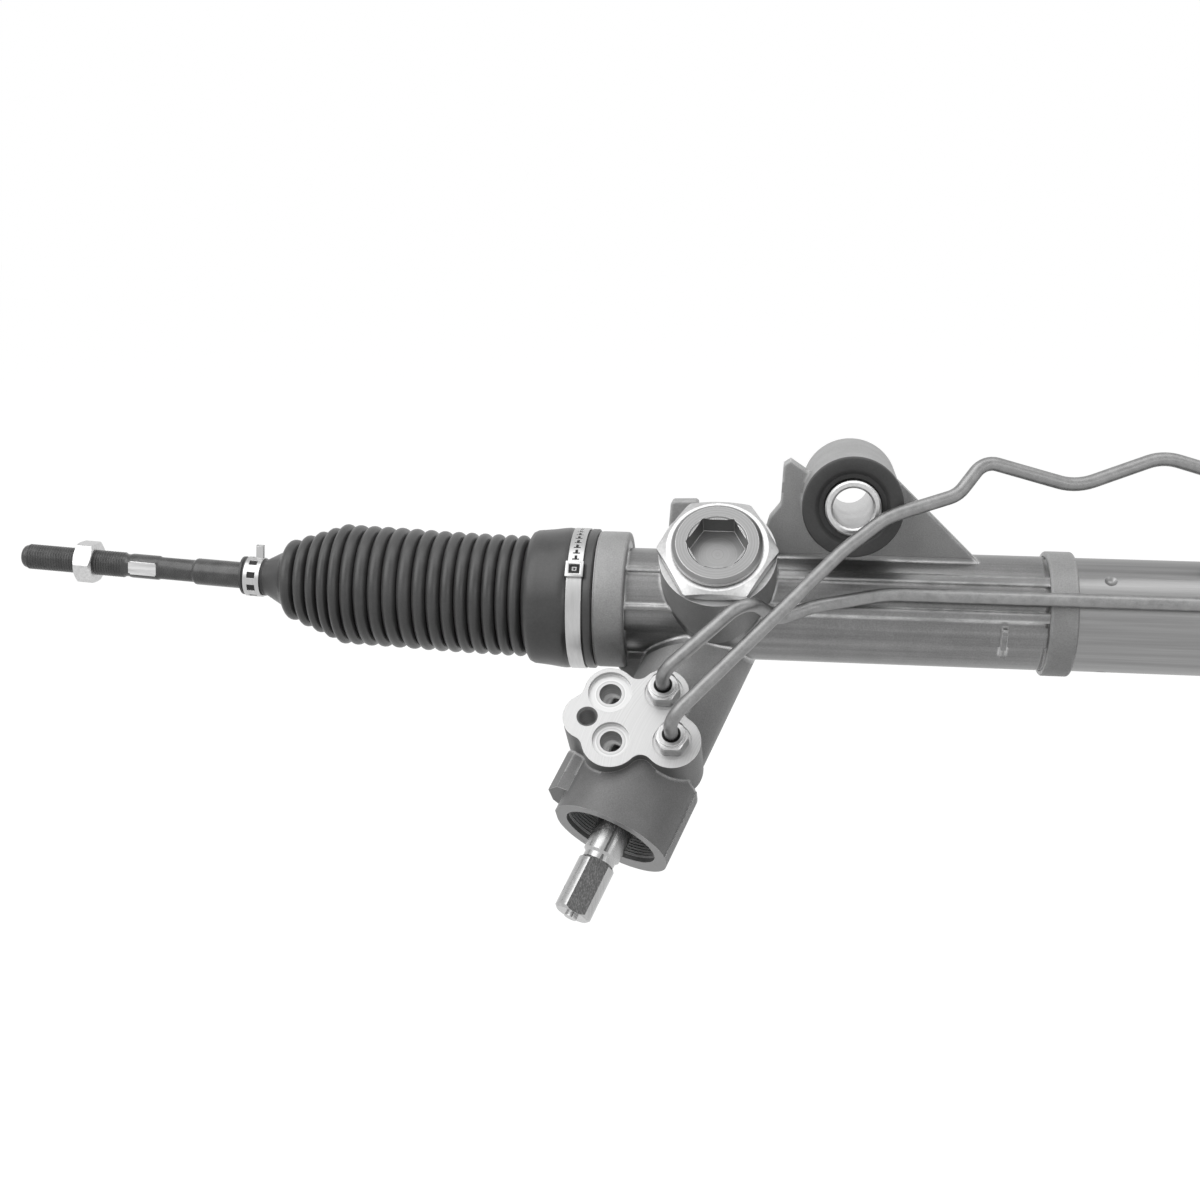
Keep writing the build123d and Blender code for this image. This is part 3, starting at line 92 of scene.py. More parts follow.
def node(tree, kind, settings=None, **inputs):
    """A node with its inputs set or linked by name."""
    made = tree.nodes.new(kind)
    for key, value in (settings or {}).items():
        setattr(made, key, value)
    for key, value in inputs.items():
        socket = made.inputs[int(key[1:])] if key[0] == "_" else made.inputs[key.replace("_", " ")]
        if isinstance(value, bpy.types.NodeSocket):
            tree.links.new(value, socket)
        else:
            socket.default_value = value
    return made


def spread(tree, value, low, high, to_low, to_high):
    """Maps a range of values onto another and holds the ends."""
    made = node(tree, "ShaderNodeMapRange", Value=value)
    for name, number in (("From Min", low), ("From Max", high), ("To Min", to_low), ("To Max", to_high)):
        made.inputs[name].default_value = number
    return made.outputs["Result"]


def sum_of(tree, a, b, how="ADD"):
    return node(tree, "ShaderNodeMath", {"operation": how}, _0=a, _1=b).outputs[0]


def shown_rays(tree):
    """One for camera, glossy and transmission rays, so that metal shows the white background too."""
    rays = node(tree, "ShaderNodeLightPath").outputs
    two = sum_of(tree, rays["Is Camera Ray"], rays["Is Glossy Ray"], "MAXIMUM")
    return sum_of(tree, two, rays["Is Transmission Ray"], "MAXIMUM")


# the tent's greys by height light the gear; the ramps run from the horizon to straight above
sky = bpy.data.worlds.new("tent")
bpy.context.scene.world = sky
sky.use_nodes = True
tree = sky.node_tree
tree.nodes.clear()
looking = node(tree, "ShaderNodeTexCoord").outputs["Generated"]
direction = node(tree, "ShaderNodeSeparateXYZ", _0=looking).outputs
backdrop_steps = ((0.0, 1.0), (0.17, 1.0), (0.3, 0.4), (1.0, 0.5))
room_steps = ((0.0, 0.19), (0.3, 0.21), (0.6, 0.34), (1.0, 0.5))
tents = []
for steps in (backdrop_steps, room_steps):
    fade = node(tree, "ShaderNodeValToRGB", Fac=direction["Z"])
    for position, _ in steps[1:-1]:
        fade.color_ramp.elements.new(position)
    for element, (position, grey) in zip(fade.color_ramp.elements, steps):
        element.position, element.color = position, (grey, grey, grey, 1)
    tents.append(fade.outputs["Color"])
toward_front = spread(tree, direction["Y"], 0.1, -0.6, 0, 1)
colours = {"data_type": "RGBA"}
tent = node(tree, "ShaderNodeMix", colours, _0=toward_front, _6=tents[0], _7=tents[1]).outputs[2]
seen = node(tree, "ShaderNodeMix", colours, _0=shown_rays(tree), _6=tent, _7=(1, 1, 1, 1)).outputs[2]
node(tree, "ShaderNodeOutputWorld", Surface=node(tree, "ShaderNodeBackground", Color=seen).outputs[0])


def soft_box(name, place, aim, wide, high, watts):
    """A soft box that faces a point on the gear."""
    lamp = bpy.data.lights.new(name, "AREA")
    lamp.shape, lamp.size, lamp.size_y, lamp.energy = "RECTANGLE", wide, high, watts
    box = bpy.data.objects.new(name, lamp)
    box.location = place
    box.rotation_mode = "QUATERNION"
    box.rotation_quaternion = (Vector(aim) - Vector(place)).to_track_quat("-Z", "Y")
    bpy.context.collection.objects.link(box)


soft_box("top_light", (0.1, -0.25, 1.5), (0.1, 0, -0.05), 2.4, 0.8, 9)
soft_box("key_light", (-1.2, -1.0, 1.1), (-0.1, 0, -0.1), 1.5, 1.5, 14)
soft_box("fill_light", (1.3, -1.5, 0.4), (0, 0, -0.1), 0.9, 0.5, 3)

floor_drop, floor_half, floor_grey, floor_glow = 0.12, 14, 0.16, 0.93
bm = bmesh.new()
bmesh.ops.create_grid(bm, x_segments=1, y_segments=1, size=floor_half)
bmesh.ops.translate(bm, vec=(0, 0, cad_low.z - floor_drop), verts=bm.verts[:])
sweep = bpy.data.objects.new("floor", bpy.data.meshes.new("floor"))
bm.to_mesh(sweep.data)
bm.free()
bpy.context.collection.objects.link(sweep)
paper = bpy.data.materials.new("pale_paper")
paper.use_nodes = True
tree = paper.node_tree
tree.nodes.clear()
matt = node(tree, "ShaderNodeBsdfDiffuse", Color=(floor_grey, floor_grey, floor_grey, 1)).outputs[0]
strength = spread(tree, shown_rays(tree), 0, 1, 0, floor_glow)
glow = node(tree, "ShaderNodeEmission", Strength=strength).outputs[0]
both = node(tree, "ShaderNodeAddShader", _0=matt, _1=glow).outputs[0]
node(tree, "ShaderNodeOutputMaterial", Surface=both)
sweep.data.materials.append(paper)


# Housing. One sand-textured aluminium casting that carries the rack tube, the yoke boss, the
# slanted valve case with its lobed port block, and the left mount. Seats are machined bright.
def shader(name, grey, metallic, roughness):
    """A finish with its shader, object coordinates and a way to add to both."""
    material = bpy.data.materials.new(name)
    material.use_nodes = True
    tree = material.node_tree
    surface = tree.nodes["Principled BSDF"]
    surface.inputs["Base Color"].default_value = (grey, grey, grey, 1)
    surface.inputs["Metallic"].default_value = metallic
    surface.inputs["Roughness"].default_value = roughness
    place = tree.nodes.new("ShaderNodeTexCoord").outputs["Object"]
    return material, tree, surface, place


def grain(tree, place, cells, detail=3.0, rough=0.5, stretch=(1, 1, 1), turn=(0, 0, 0)):
    """Noise with a number of cells per metre, stretched along the axes of a turned frame."""
    lay = node(tree, "ShaderNodeMapping", Vector=place, Rotation=turn, Scale=stretch)
    return node(tree, "ShaderNodeTexNoise", Vector=lay.outputs[0], Scale=cells, Detail=detail,
                Roughness=rough).outputs["Fac"]


def grey_mix(tree, factor, a, b):
    """Blends two greys, each a number or a socket."""
    return node(tree, "ShaderNodeMix", {"data_type": "FLOAT"}, _0=factor, _2=a, _3=b).outputs[0]


def vary(tree, noise, low, high):
    """Runs a value over the middle span of a noise, where nearly all of it lies."""
    return spread(tree, noise, 0.3, 0.7, low, high)


def dot(tree, a, b):
    return node(tree, "ShaderNodeVectorMath", {"operation": "DOT_PRODUCT"}, _0=a, _1=b).outputs["Value"]


def paint(tree, surface, grey):
    """Links a grey to the shader's colour."""
    colour = node(tree, "ShaderNodeCombineColor", _0=grey, _1=grey, _2=grey).outputs[0]
    tree.links.new(colour, surface.inputs["Base Color"])


def relief(tree, surface, height, depth, edge=None):
    """Bump of a depth in metres on the shader, with edges rounded by a radius. Gives the edge rounding."""
    bump = node(tree, "ShaderNodeBump", Height=height, Strength=1.0, Distance=depth)
    tree.links.new(bump.outputs[0], surface.inputs["Normal"])
    if edge is None:
        return None
    soft = node(tree, "ShaderNodeBevel", {"samples": 6}, Radius=edge).outputs[0]
    tree.links.new(soft, bump.inputs["Normal"])
    return soft


def edge_band(tree, soft, low=0.90, high=0.99):
    """One along the edges that the rounding turns, and nothing on the open faces."""
    straight = node(tree, "ShaderNodeNewGeometry").outputs["Normal"]
    same = dot(tree, soft, straight)
    return spread(tree, same, low, high, 1, 0)


def away(tree, place, origin):
    return node(tree, "ShaderNodeVectorMath", {"operation": "SUBTRACT"}, _0=place, _1=origin).outputs[0]


def turning(tree, place, origin, axis, cells):
    """Fine rings round an axis, as a lathe leaves them, and the distance from the axis in metres."""
    from_origin = away(tree, place, origin)
    along = dot(tree, from_origin, axis)
    middle = node(tree, "ShaderNodeVectorMath", {"operation": "SCALE"}, _0=axis, Scale=along).outputs[0]
    out_to = node(tree, "ShaderNodeVectorMath", {"operation": "DISTANCE"}, _0=from_origin, _1=middle)
    out_to = out_to.outputs["Value"]
    ring = node(tree, "ShaderNodeCombineXYZ", _0=out_to, _1=along).outputs[0]
    rings = node(tree, "ShaderNodeTexNoise", Vector=ring, Scale=cells, Detail=2.0, Roughness=0.6)
    return rings.outputs["Fac"], out_to


yoke_x = -65.7
pinion_foot = Vector((yoke_x, 11.667, -69.105)) * mm
face_normal = Vector((0, -0.743145, 0.669131))
pinion_line = Vector((-0.358368, -0.624687, -0.693785))
rack_height = -58.6 * mm


def on_port_face(across, down):
    """A point on the port face's plane, in millimetres across and down from the pinion's foot."""
    return pinion_foot + Vector((across, -face_normal.z * down, face_normal.y * down)) * mm


def height_along(tree, place, origin, axis):
    """Distance of a point from an origin along an axis, in millimetres."""
    return sum_of(tree, dot(tree, away(tree, place, origin), axis), 1 / mm, "MULTIPLY")


def window(tree, value, low, high, soft=0.12):
    """One inside a span of values and nothing outside it."""
    rise = spread(tree, value, low - soft, low + soft, 0, 1)
    fall = spread(tree, value, high - soft, high + soft, 1, 0)
    return sum_of(tree, rise, fall, "MULTIPLY")


cast, tree, surface, place = shader("cast_aluminium", 0.42, 0.45, 0.45)
face_height = height_along(tree, place, pinion_foot, face_normal)
facing = node(tree, "ShaderNodeNewGeometry").outputs["Normal"]
toward_face = dot(tree, facing, face_normal)
flat_face = spread(tree, toward_face, 0.97, 0.995, 0, 1)
port_face = sum_of(tree, window(tree, face_height, 32.0, 36.3), flat_face, "MULTIPLY")
boss_face = sum_of(tree, window(tree, face_height, 65.0, 67.5), flat_face, "MULTIPLY")
station = height_along(tree, place, pinion_foot, pinion_line)
toward_mouth = dot(tree, facing, pinion_line)
rim_polish = 0.45
mouth_flat = spread(tree, toward_mouth, 0.96, 0.99, 0, 1)
mouth_rim = sum_of(tree, window(tree, station, 135.0, 137.0), mouth_flat, "MULTIPLY")
mouth_rim = sum_of(tree, mouth_rim, rim_polish, "MULTIPLY")
machined = sum_of(tree, sum_of(tree, port_face, boss_face, "MAXIMUM"), mouth_rim, "MAXIMUM")
cut_zone = sum_of(tree, window(tree, face_height, 28.0, 37.0), window(tree, face_height, 64.0, 67.5), "MAXIMUM")
cut_zone = sum_of(tree, cut_zone, window(tree, station, 118.0, 137.0), "MAXIMUM")
sand = grain(tree, place, 1500, 2.0, 0.6)
blotch = grain(tree, place, 60, 4.0, 0.6)
die_lines = grain(tree, place, 260, 3.0, 0.6, stretch=(0.02, 1, 1))
from_rack = turning(tree, place, Vector((0, 0, rack_height)), Vector((1, 0, 0)), 100)[1]
tube_wall, past_wall = 0.0313, 0.0316
on_tube = spread(tree, from_rack, tube_wall, past_wall, 1, 0)
cutter = turning(tree, place, Vector((-0.030, -0.062, -0.150)), face_normal, 1500)[0]
tone = sum_of(tree, vary(tree, sand, 0.84, 1.12), vary(tree, blotch, 0.90, 1.08), "MULTIPLY")
streak = grey_mix(tree, on_tube, 1.0, vary(tree, die_lines, 0.48, 0.71))
# base grey of the casting, darkened from 0.37 to 0.19 down the valve case towards the shaft: painted shade where
# the case faces down
painted_shade_down_case = spread(tree, station, 35.0, 85.0, 0.37, 0.19)
cast_grey = sum_of(tree, sum_of(tree, tone, streak, "MULTIPLY"), painted_shade_down_case, "MULTIPLY")
cut_grey = vary(tree, cutter, 0.46, 0.54)
# each machined hole in the port face has its own lathe rings: across, down, radius, rings per metre
port_holes = ((-51.1, 63.7, 0.01102, 1300), (-48.7, 89.3, 0.00932, 1300), (-61.4, 77.5, 0.00427, 900))
for across, down, reach, cells in port_holes:
    hole = on_port_face(across, down)
    rings, from_hole = turning(tree, place, hole, face_normal, cells)
    within = spread(tree, from_hole, reach, reach + 0.00004, 1, 0)
    inside = sum_of(tree, within, window(tree, face_height, 17.0, 35.95, 0.02), "MULTIPLY")
    cut_grey = grey_mix(tree, inside, cut_grey, spread(tree, rings, 0.35, 0.65, 0.42, 0.62))
    machined = sum_of(tree, machined, inside, "MAXIMUM")
smoother = sum_of(tree, sand, grey_mix(tree, on_tube, 1.0, 0.25), "MULTIPLY")
height = grey_mix(tree, machined, smoother, sum_of(tree, cutter, 0.1, "MULTIPLY"))
soft = relief(tree, surface, height, 0.00014, grey_mix(tree, cut_zone, 0.0026, 0.0004))
# the rounded edges, concave fillets too, are lightened towards 0.80: partly edge wear, partly a painted glint
edge_wear_and_glint = sum_of(tree, edge_band(tree, soft), spread(tree, blotch, 0.4, 0.6, 0.45, 1.0), "MULTIPLY")
shade = grey_mix(tree, edge_wear_and_glint, grey_mix(tree, machined, cast_grey, cut_grey), 0.80)
paint(tree, surface, shade)
tree.links.new(grey_mix(tree, machined, grey_mix(tree, on_tube, 0.5, 0.32), 0.4), surface.inputs["Roughness"])
tree.links.new(grey_mix(tree, machined, grey_mix(tree, on_tube, 0.2, 0.8), 0.75), surface.inputs["Metallic"])


def dress(names, material):
    """Gives CAD nodes of one finish their material."""
    for name in names:
        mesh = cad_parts[name].data
        mesh.materials.clear()
        mesh.materials.append(material)


def add_piece(name, bm, materials, sharp):
    """Turns a mesh into a smooth shaded piece in the scene, sharp where it folds by more than an angle."""
    piece = bpy.data.objects.new(name, bpy.data.meshes.new(name))
    bm.to_mesh(piece.data)
    bm.free()
    for stored in [a for a in piece.data.attributes if a.name == "custom_normal"]:
        piece.data.attributes.remove(stored)
    for material in materials:
        piece.data.materials.append(material)
    piece.data.polygons.foreach_set("use_smooth", [True] * len(piece.data.polygons))
    piece.data.set_sharp_from_angle(angle=math.radians(sharp))
    bpy.context.collection.objects.link(piece)
    return piece


def smooth_copy(name, node_name, body, material, sharp=32):
    """A piece in a node's shape with its triangles joined, so that curved walls shade smoothly."""
    bm = bmesh.new()
    bm.from_mesh(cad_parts[node_name].data)
    bmesh.ops.remove_doubles(bm, verts=bm.verts[:], dist=2e-6)
    for face in bm.faces:
        face.material_index = 0
    piece = add_piece(name, bm, [material], sharp)
    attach(piece, body)
    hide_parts(node_name)


smooth_copy("housing_casting", "rack_housing", "housing", cast)


def lathe(points, axis, steps):
    """A mesh spun from a closed loop of points a full turn about an axis through the origin."""
    bm = bmesh.new()
    loop = [bm.verts.new(point) for point in points]
    for a, b in zip(loop, loop[1:] + loop[:1]):
        if a.co.x > 0 or b.co.x > 0:
            bm.edges.new((a, b))
    bmesh.ops.spin(bm, geom=bm.verts[:] + bm.edges[:], cent=(0, 0, 0), axis=axis, angle=2 * math.pi,
                   steps=steps, use_merge=True)
    return bm


def spun(name, outline, place, material, steps=96, sharp=35):
    """Spins a closed outline of (radius, station) points, in millimetres, about the Z axis of a place."""
    bm = lathe([(r, 0, z) for r, z in outline], (0, 0, 1), steps)
    bmesh.ops.remove_doubles(bm, verts=bm.verts[:], dist=0.0005)
    bmesh.ops.recalc_face_normals(bm, faces=bm.faces[:])
    bmesh.ops.transform(bm, matrix=place @ Matrix.Scale(mm, 4), verts=bm.verts[:])
    return add_piece(name, bm, [material], sharp)


def facing_along(origin, axis, side_axis):
    """A place with its Z along an axis and its X nearest to another."""
    z = Vector(axis).normalized()
    y = z.cross(Vector(side_axis)).normalized()
    x = y.cross(z)
    return Matrix.Translation(origin) @ Matrix((x, y, z)).transposed().to_4x4()


def rounded_band(inner, outer, start, end, radius):
    """Outline of a band whose two outer corners are rounded."""
    turns = [math.radians(a) for a in range(0, 91, 15)]
    arc = [(radius * math.sin(a), radius * (1 - math.cos(a))) for a in turns]
    low = [(outer - radius + x, start + y) for x, y in arc]
    high = [(outer - radius + x, end - y) for x, y in reversed(arc)]
    return [(inner, start)] + low + high + [(inner, end)]


along_rack = facing_along((yoke_x * mm, 0, rack_height), (1, 0, 0), (0, 0, 1))
for name, outline in (("tube_bead", rounded_band(29.6, 31.95, 164.1, 178.4, 1.4)),
                      ("collar_rim", rounded_band(31.4, 35.85, -63.7, -47.7, 1.6))):
    band = spun(name, outline, along_rack, cast, 128, 60)
    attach(band, "housing")


# Cylinder. Drawn steel tube pressed into the casting, with pipe bosses brazed on, the bulkhead
# and seals inside, a turned aluminium end cap, and the welded right mount.
drawn, tree, surface, place = shader("drawn_steel", 0.5, 1.0, 0.34)
draw_lines = grain(tree, place, 420, 3.0, 0.6, stretch=(0.02, 1, 1))
surface.inputs["Anisotropic"].default_value = 0.4
shade = spread(tree, draw_lines, 0.25, 0.75, 0.21, 0.31)
paint(tree, surface, shade)
tree.links.new(vary(tree, draw_lines, 0.28, 0.4), surface.inputs["Roughness"])
relief(tree, surface, draw_lines, 0.00001, 0.0006)


def turned_finish(name, origin, axis, low, high, roughness):
    """Bright turned metal with lathe rings round an axis."""
    material, tree, surface, place = shader(name, (low + high) / 2, 1.0, roughness)
    rings = turning(tree, place, origin, axis, 2200)[0]
    haze = grain(tree, place, 80, 3.0, 0.6)
    tone = sum_of(tree, vary(tree, rings, low, high), vary(tree, haze, 0.93, 1.05), "MULTIPLY")
    soft = relief(tree, surface, rings, 0.00001, 0.0005)
    tone = grey_mix(tree, edge_band(tree, soft), tone, 0.72)
    paint(tree, surface, tone)
    tree.links.new(vary(tree, haze, roughness - 0.04, roughness + 0.06), surface.inputs["Roughness"])
    return material


rack_origin = Vector((0, 0, rack_height))
turned_alloy = turned_finish("turned_aluminium", rack_origin, Vector((1, 0, 0)), 0.32, 0.42, 0.40)
smooth_copy("cylinder", "cylinder_tube", "housing", drawn)
smooth_copy("pipe_bosses", "cylinder_port_bosses", "housing", drawn)
smooth_copy("right_mount", "right_mount_bracket", "housing", drawn)
smooth_copy("end_cap", "cylinder_end_cap", "housing", turned_alloy)
dress(["inner_bulkhead"], turned_alloy)


# Yoke. The plunger, its liner and spring sit under a screwed plug with a hexagon socket, held
# by a large thin lock nut. The plug is turned aluminium and the nut is zinc plated steel.
zinc, tree, surface, place = shader("zinc_plate", 0.62, 1.0, 0.3)
crystals = grain(tree, place, 700, 3.0, 0.6)
haze = grain(tree, place, 90, 3.0, 0.6)
shade = sum_of(tree, vary(tree, crystals, 0.50, 0.62), vary(tree, haze, 0.92, 1.06), "MULTIPLY")
paint(tree, surface, shade)
tree.links.new(vary(tree, haze, 0.27, 0.38), surface.inputs["Roughness"])
relief(tree, surface, crystals, 0.00002, 0.0005)


def thread(root, crest, start, end, pitch):
    """Outline points up a screw thread, drawn as closed rings."""
    points = []
    count = int((end - start) / pitch)
    for k in range(count):
        low = start + k * pitch
        points += [(root, low), (root, low + 0.14 * pitch),
                   (crest, low + 0.45 * pitch), (crest, low + 0.69 * pitch)]
    return points + [(root, start + count * pitch)]


yoke_place = facing_along((yoke_x * mm, 0, rack_height), face_normal, (1, 0, 0))
yoke_at = Vector((yoke_x * mm, 0, rack_height))
plug_alloy = turned_finish("plug_aluminium", yoke_at, face_normal, 0.20, 0.28, 0.38)
smooth_copy("plug", "yoke_plug", "housing", plug_alloy, 25)
rim_outline = [(21.9, 57.6)] + thread(22.32, 22.75, 58.05, 60.4, 0.75) + [(21.9, 60.4)]
rim_thread = spun("plug_thread", rim_outline, yoke_place, plug_alloy)
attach(rim_thread, "housing")
smooth_copy("lock_nut", "yoke_locknut", "housing", zinc, 25)
dress(["rack_yoke"], turned_alloy)
dress(["yoke_spring"], zinc)

bearing_white, tree, surface, place = shader("bearing_plastic", 0.6, 0.0, 0.5)
mottle = grain(tree, place, 500, 2.0, 0.5)
shade = vary(tree, mottle, 0.55, 0.66)
paint(tree, surface, shade)
relief(tree, surface, mottle, 0.00002)
dress(["yoke_liner", "rack_bushing", "sleeve_rings", "piston_ring"], bearing_white)
dress(["left_ball_seat", "right_ball_seat"], bearing_white)


# Mount bushes. Moulded rubber with a raised lip, pressed in the bosses, round zinc plated
# sleeves that the subframe bolts clamp.
moulded, tree, surface, place = shader("moulded_rubber", 0.05, 0.0, 0.55)
pores = grain(tree, place, 1100, 3.0, 0.6)
bloom = grain(tree, place, 70, 3.0, 0.6)
shade = sum_of(tree, vary(tree, bloom, 0.040, 0.062), vary(tree, pores, 0.9, 1.1), "MULTIPLY")
paint(tree, surface, shade)
tree.links.new(vary(tree, bloom, 0.48, 0.62), surface.inputs["Roughness"])
relief(tree, surface, pores, 0.00003, 0.0008)

bush_outline = [(13.8, -31.0), (14.2, -32.6), (16.6, -33.2), (18.3, -35.4), (19.2, -36.0), (23.4, -36.0),
                (24.5, -35.6), (25.0, -34.4), (25.0, -32.4), (24.6, -31.6), (20.0, -31.54), (20.0, 36.2),
                (19.2, 36.9), (15.4, 36.9), (14.6, 35.0), (13.8, 34.6)]
mount_spacing = 280.3
for side in ("left", "right"):
    bush_place = facing_along((0 if side == "left" else mount_spacing * mm, 0, 0), (0, 1, 0), (1, 0, 0))
    rubber = spun(side + "_bush", bush_outline, bush_place, moulded)
    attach(rubber, "housing")
    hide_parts(side + "_bush_rubber")
    smooth_copy(side + "_bush_tube", side + "_bush_sleeve", "housing", zinc)
dress(["inner_rack_seal", "outer_rack_seal", "yoke_oring", "pinion_seal", "input_seal"], moulded)


# Valve and pinion. Ground steel input shaft with a flat and a neck groove for the column's
# clamp, over the torsion bar, the slotted sleeve and the toothed pinion.
ground, tree, surface, place = shader("ground_steel", 0.62, 1.0, 0.16)
scratches = grain(tree, place, 700, 3.0, 0.6, stretch=(1, 1, 0.08), turn=(0.7, 0.3, 0))
shade = vary(tree, scratches, 0.38, 0.48)
facing = node(tree, "ShaderNodeNewGeometry").outputs["True Normal"]
flat_turn = math.radians(18)
flat_normal = face_normal * math.cos(flat_turn) - pinion_line.cross(face_normal) * math.sin(flat_turn)
on_flat = dot(tree, facing, flat_normal)
on_flat = spread(tree, on_flat, 0.994, 0.999, 0, 1)
file_marks = grain(tree, place, 2600, 2.0, 0.7, stretch=(1, 0.3, 0.3), turn=(0.75, 0.35, 0.3))
shade = grey_mix(tree, on_flat, shade, spread(tree, file_marks, 0.45, 0.7, 0.10, 0.22))
paint(tree, surface, shade)
tree.links.new(grey_mix(tree, on_flat, vary(tree, scratches, 0.2, 0.3), 0.42), surface.inputs["Roughness"])
relief(tree, surface, scratches, 0.000006, 0.0004)

smooth_copy("shaft_stub", "input_shaft", "input_shaft", ground)
dress(["torsion_bar", "torsion_pin"], ground)
dress(["pinion_gear", "valve_sleeve", "pinion_nut"], ground)
dress(["lower_ball_bearing", "upper_needle_bearing", "input_bearing", "mouth_snap_ring"], ground)
smooth_copy("rear_cap", "pinion_end_cap", "housing", zinc)

mouth_place = facing_along(pinion_foot, pinion_line, face_normal)
mouth_outline = [(24.52, 121.0)] + thread(24.3, 23.75, 121.2, 133.4, 1.5) + [(24.52, 133.6)]
cut_thread = spun("mouth_thread", mouth_outline, mouth_place, cast)
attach(cut_thread, "housing")


# Rack. Ground round bar with slanted teeth, the piston and its ring, and the two ball sockets
# screwed on its ends over their lock washers.
smooth_copy("rack", "rack_bar", "rack", ground)
dress(["piston"], ground)
for side in ("left", "right"):
    smooth_copy(side + "_socket", side + "_ball_socket", "rack", zinc)
    dress([side + "_lock_washer"], zinc)


# Pipes. Bent steel tube between the valve's line ports and the cylinder, clear coated, held by
# zinc plated tube nuts.
tube_coat, tree, surface, place = shader("coated_tube", 0.4, 0.9, 0.44)
patina = grain(tree, place, 220, 4.0, 0.65)
specks = grain(tree, place, 1600, 2.0, 0.5)
shade = sum_of(tree, vary(tree, patina, 0.23, 0.32), vary(tree, specks, 0.94, 1.05), "MULTIPLY")
paint(tree, surface, shade)
tree.links.new(vary(tree, patina, 0.38, 0.5), surface.inputs["Roughness"])
relief(tree, surface, specks, 0.000012)
smooth_copy("upper_pipe", "near_pipe", "housing", tube_coat)
smooth_copy("lower_pipe", "far_pipe", "housing", tube_coat)

nut_zinc, tree, surface, place = shader("nut_zinc", 0.5, 1.0, 0.3)
crystals = grain(tree, place, 700, 3.0, 0.6)
shade = vary(tree, crystals, 0.44, 0.54)
soft = relief(tree, surface, crystals, 0.00002, 0.0004)
shade = grey_mix(tree, edge_band(tree, soft), shade, 0.75)
facing = node(tree, "ShaderNodeNewGeometry").outputs["Normal"]
top_face = dot(tree, facing, face_normal)
top_face = spread(tree, top_face, 0.9, 0.97, 0, 1)
line_ports = ((-24.2, 62.6), (-18.4, 88.8))
for across, down in line_ports:
    nut_foot = on_port_face(across, down)
    from_pipe = turning(tree, place, nut_foot, face_normal, 100)[1]
    # a near-black ring on the nut's top round each pipe: painted shade for the gap between the nut's bore and the
    # pipe
    painted_gap_shade = sum_of(tree, spread(tree, from_pipe, 0.0045, 0.0048, 1, 0), top_face, "MULTIPLY")
    shade = grey_mix(tree, painted_gap_shade, shade, 0.015)
paint(tree, surface, shade)
smooth_copy("tube_nuts", "line_nuts", "housing", nut_zinc, 25)


# Tie rods. Black phosphated forgings with a ball at the inner end, spanner flats and a rolled
# thread for the outer rod end, with a plated jam nut.
black, tree, surface, place = shader("phosphate_black", 0.045, 0.35, 0.42)
bloom = grain(tree, place, 160, 3.0, 0.6)
grit = grain(tree, place, 1400, 2.0, 0.6)
shade = vary(tree, bloom, 0.062, 0.10)
paint(tree, surface, shade)
tree.links.new(vary(tree, grit, 0.2, 0.34), surface.inputs["Roughness"])
relief(tree, surface, grit, 0.00003, 0.0005)

plated, tree, surface, place = shader("bright_flats", 0.5, 0.9, 0.35)
rub = grain(tree, place, 500, 3.0, 0.6, stretch=(0.1, 1, 1))
shade = vary(tree, rub, 0.5, 0.75)
paint(tree, surface, shade)
relief(tree, surface, rub, 0.00002, 0.0004)

ball_radius, rod_rise = 13.0, math.radians(3.24)
flat_start, flat_end, flat_half, flat_reach = 158.5 * mm, 175.0 * mm, 5.6 * mm, 5.5 * mm
ball_turns = [math.pi * k / 28 for k in range(25)]
ball = [(ball_radius * math.sin(a), -ball_radius * math.cos(a)) for a in ball_turns]
rod_outline = ball + [
    (5.5, 11.9), (5.5, 18.0), (6.2, 21.0), (7.2, 24.0), (7.2, 136.6), (7.0, 137.4), (6.1, 138.6), (6.05, 157.6),
    (6.2, 158.2), (6.6, 158.9), (6.62, 159.4), (6.62, 173.6), (6.4, 174.6), (6.1, 175.4), (6.15, 177.4)]
rod_outline += thread(6.45, 6.9, 177.9, 234.0, 1.5)
rod_outline += [(6.3, 234.4), (5.8, 235.6), (5.0, 236.3), (0, 236.3)]
ball_at_side = {"left": Vector((-214.0, 0, -58.6)) * mm, "right": Vector((492.6, 0, -58.6)) * mm}
slope_side = {side: Vector((outward * math.cos(rod_rise), 0, math.sin(rod_rise)))
              for side, outward in (("left", -1), ("right", 1))}
for side in ("left", "right"):
    ball_at, slope = ball_at_side[side], slope_side[side]
    rod = spun(side + "_rod", rod_outline, Matrix.Identity(4), black, steps=64)
    bm = bmesh.new()
    bm.from_mesh(rod.data)
    flat_faces = set()
    for vert in bm.verts:
        if flat_start < vert.co.z < flat_end and abs(vert.co.x) > flat_reach:
            vert.co.x = math.copysign(flat_half, vert.co.x)
            flat_faces.update(face for face in vert.link_faces
                              if all(flat_start < v.co.z < flat_end for v in face.verts))
    for face in flat_faces:
        if all(abs(abs(v.co.x) - flat_half) < 1e-6 for v in face.verts):
            face.material_index = 1
    rod_place = facing_along(ball_at, slope, (0, 1, 0))
    bmesh.ops.transform(bm, matrix=rod_place, verts=bm.verts[:])
    bm.to_mesh(rod.data)
    bm.free()
    rod.data.materials.append(plated)
    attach(rod, side + "_tie_rod")
    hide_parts(side + "_tie_rod")
    smooth_copy(side + "_rod_nut", side + "_jam_nut", side + "_tie_rod", zinc, 25)


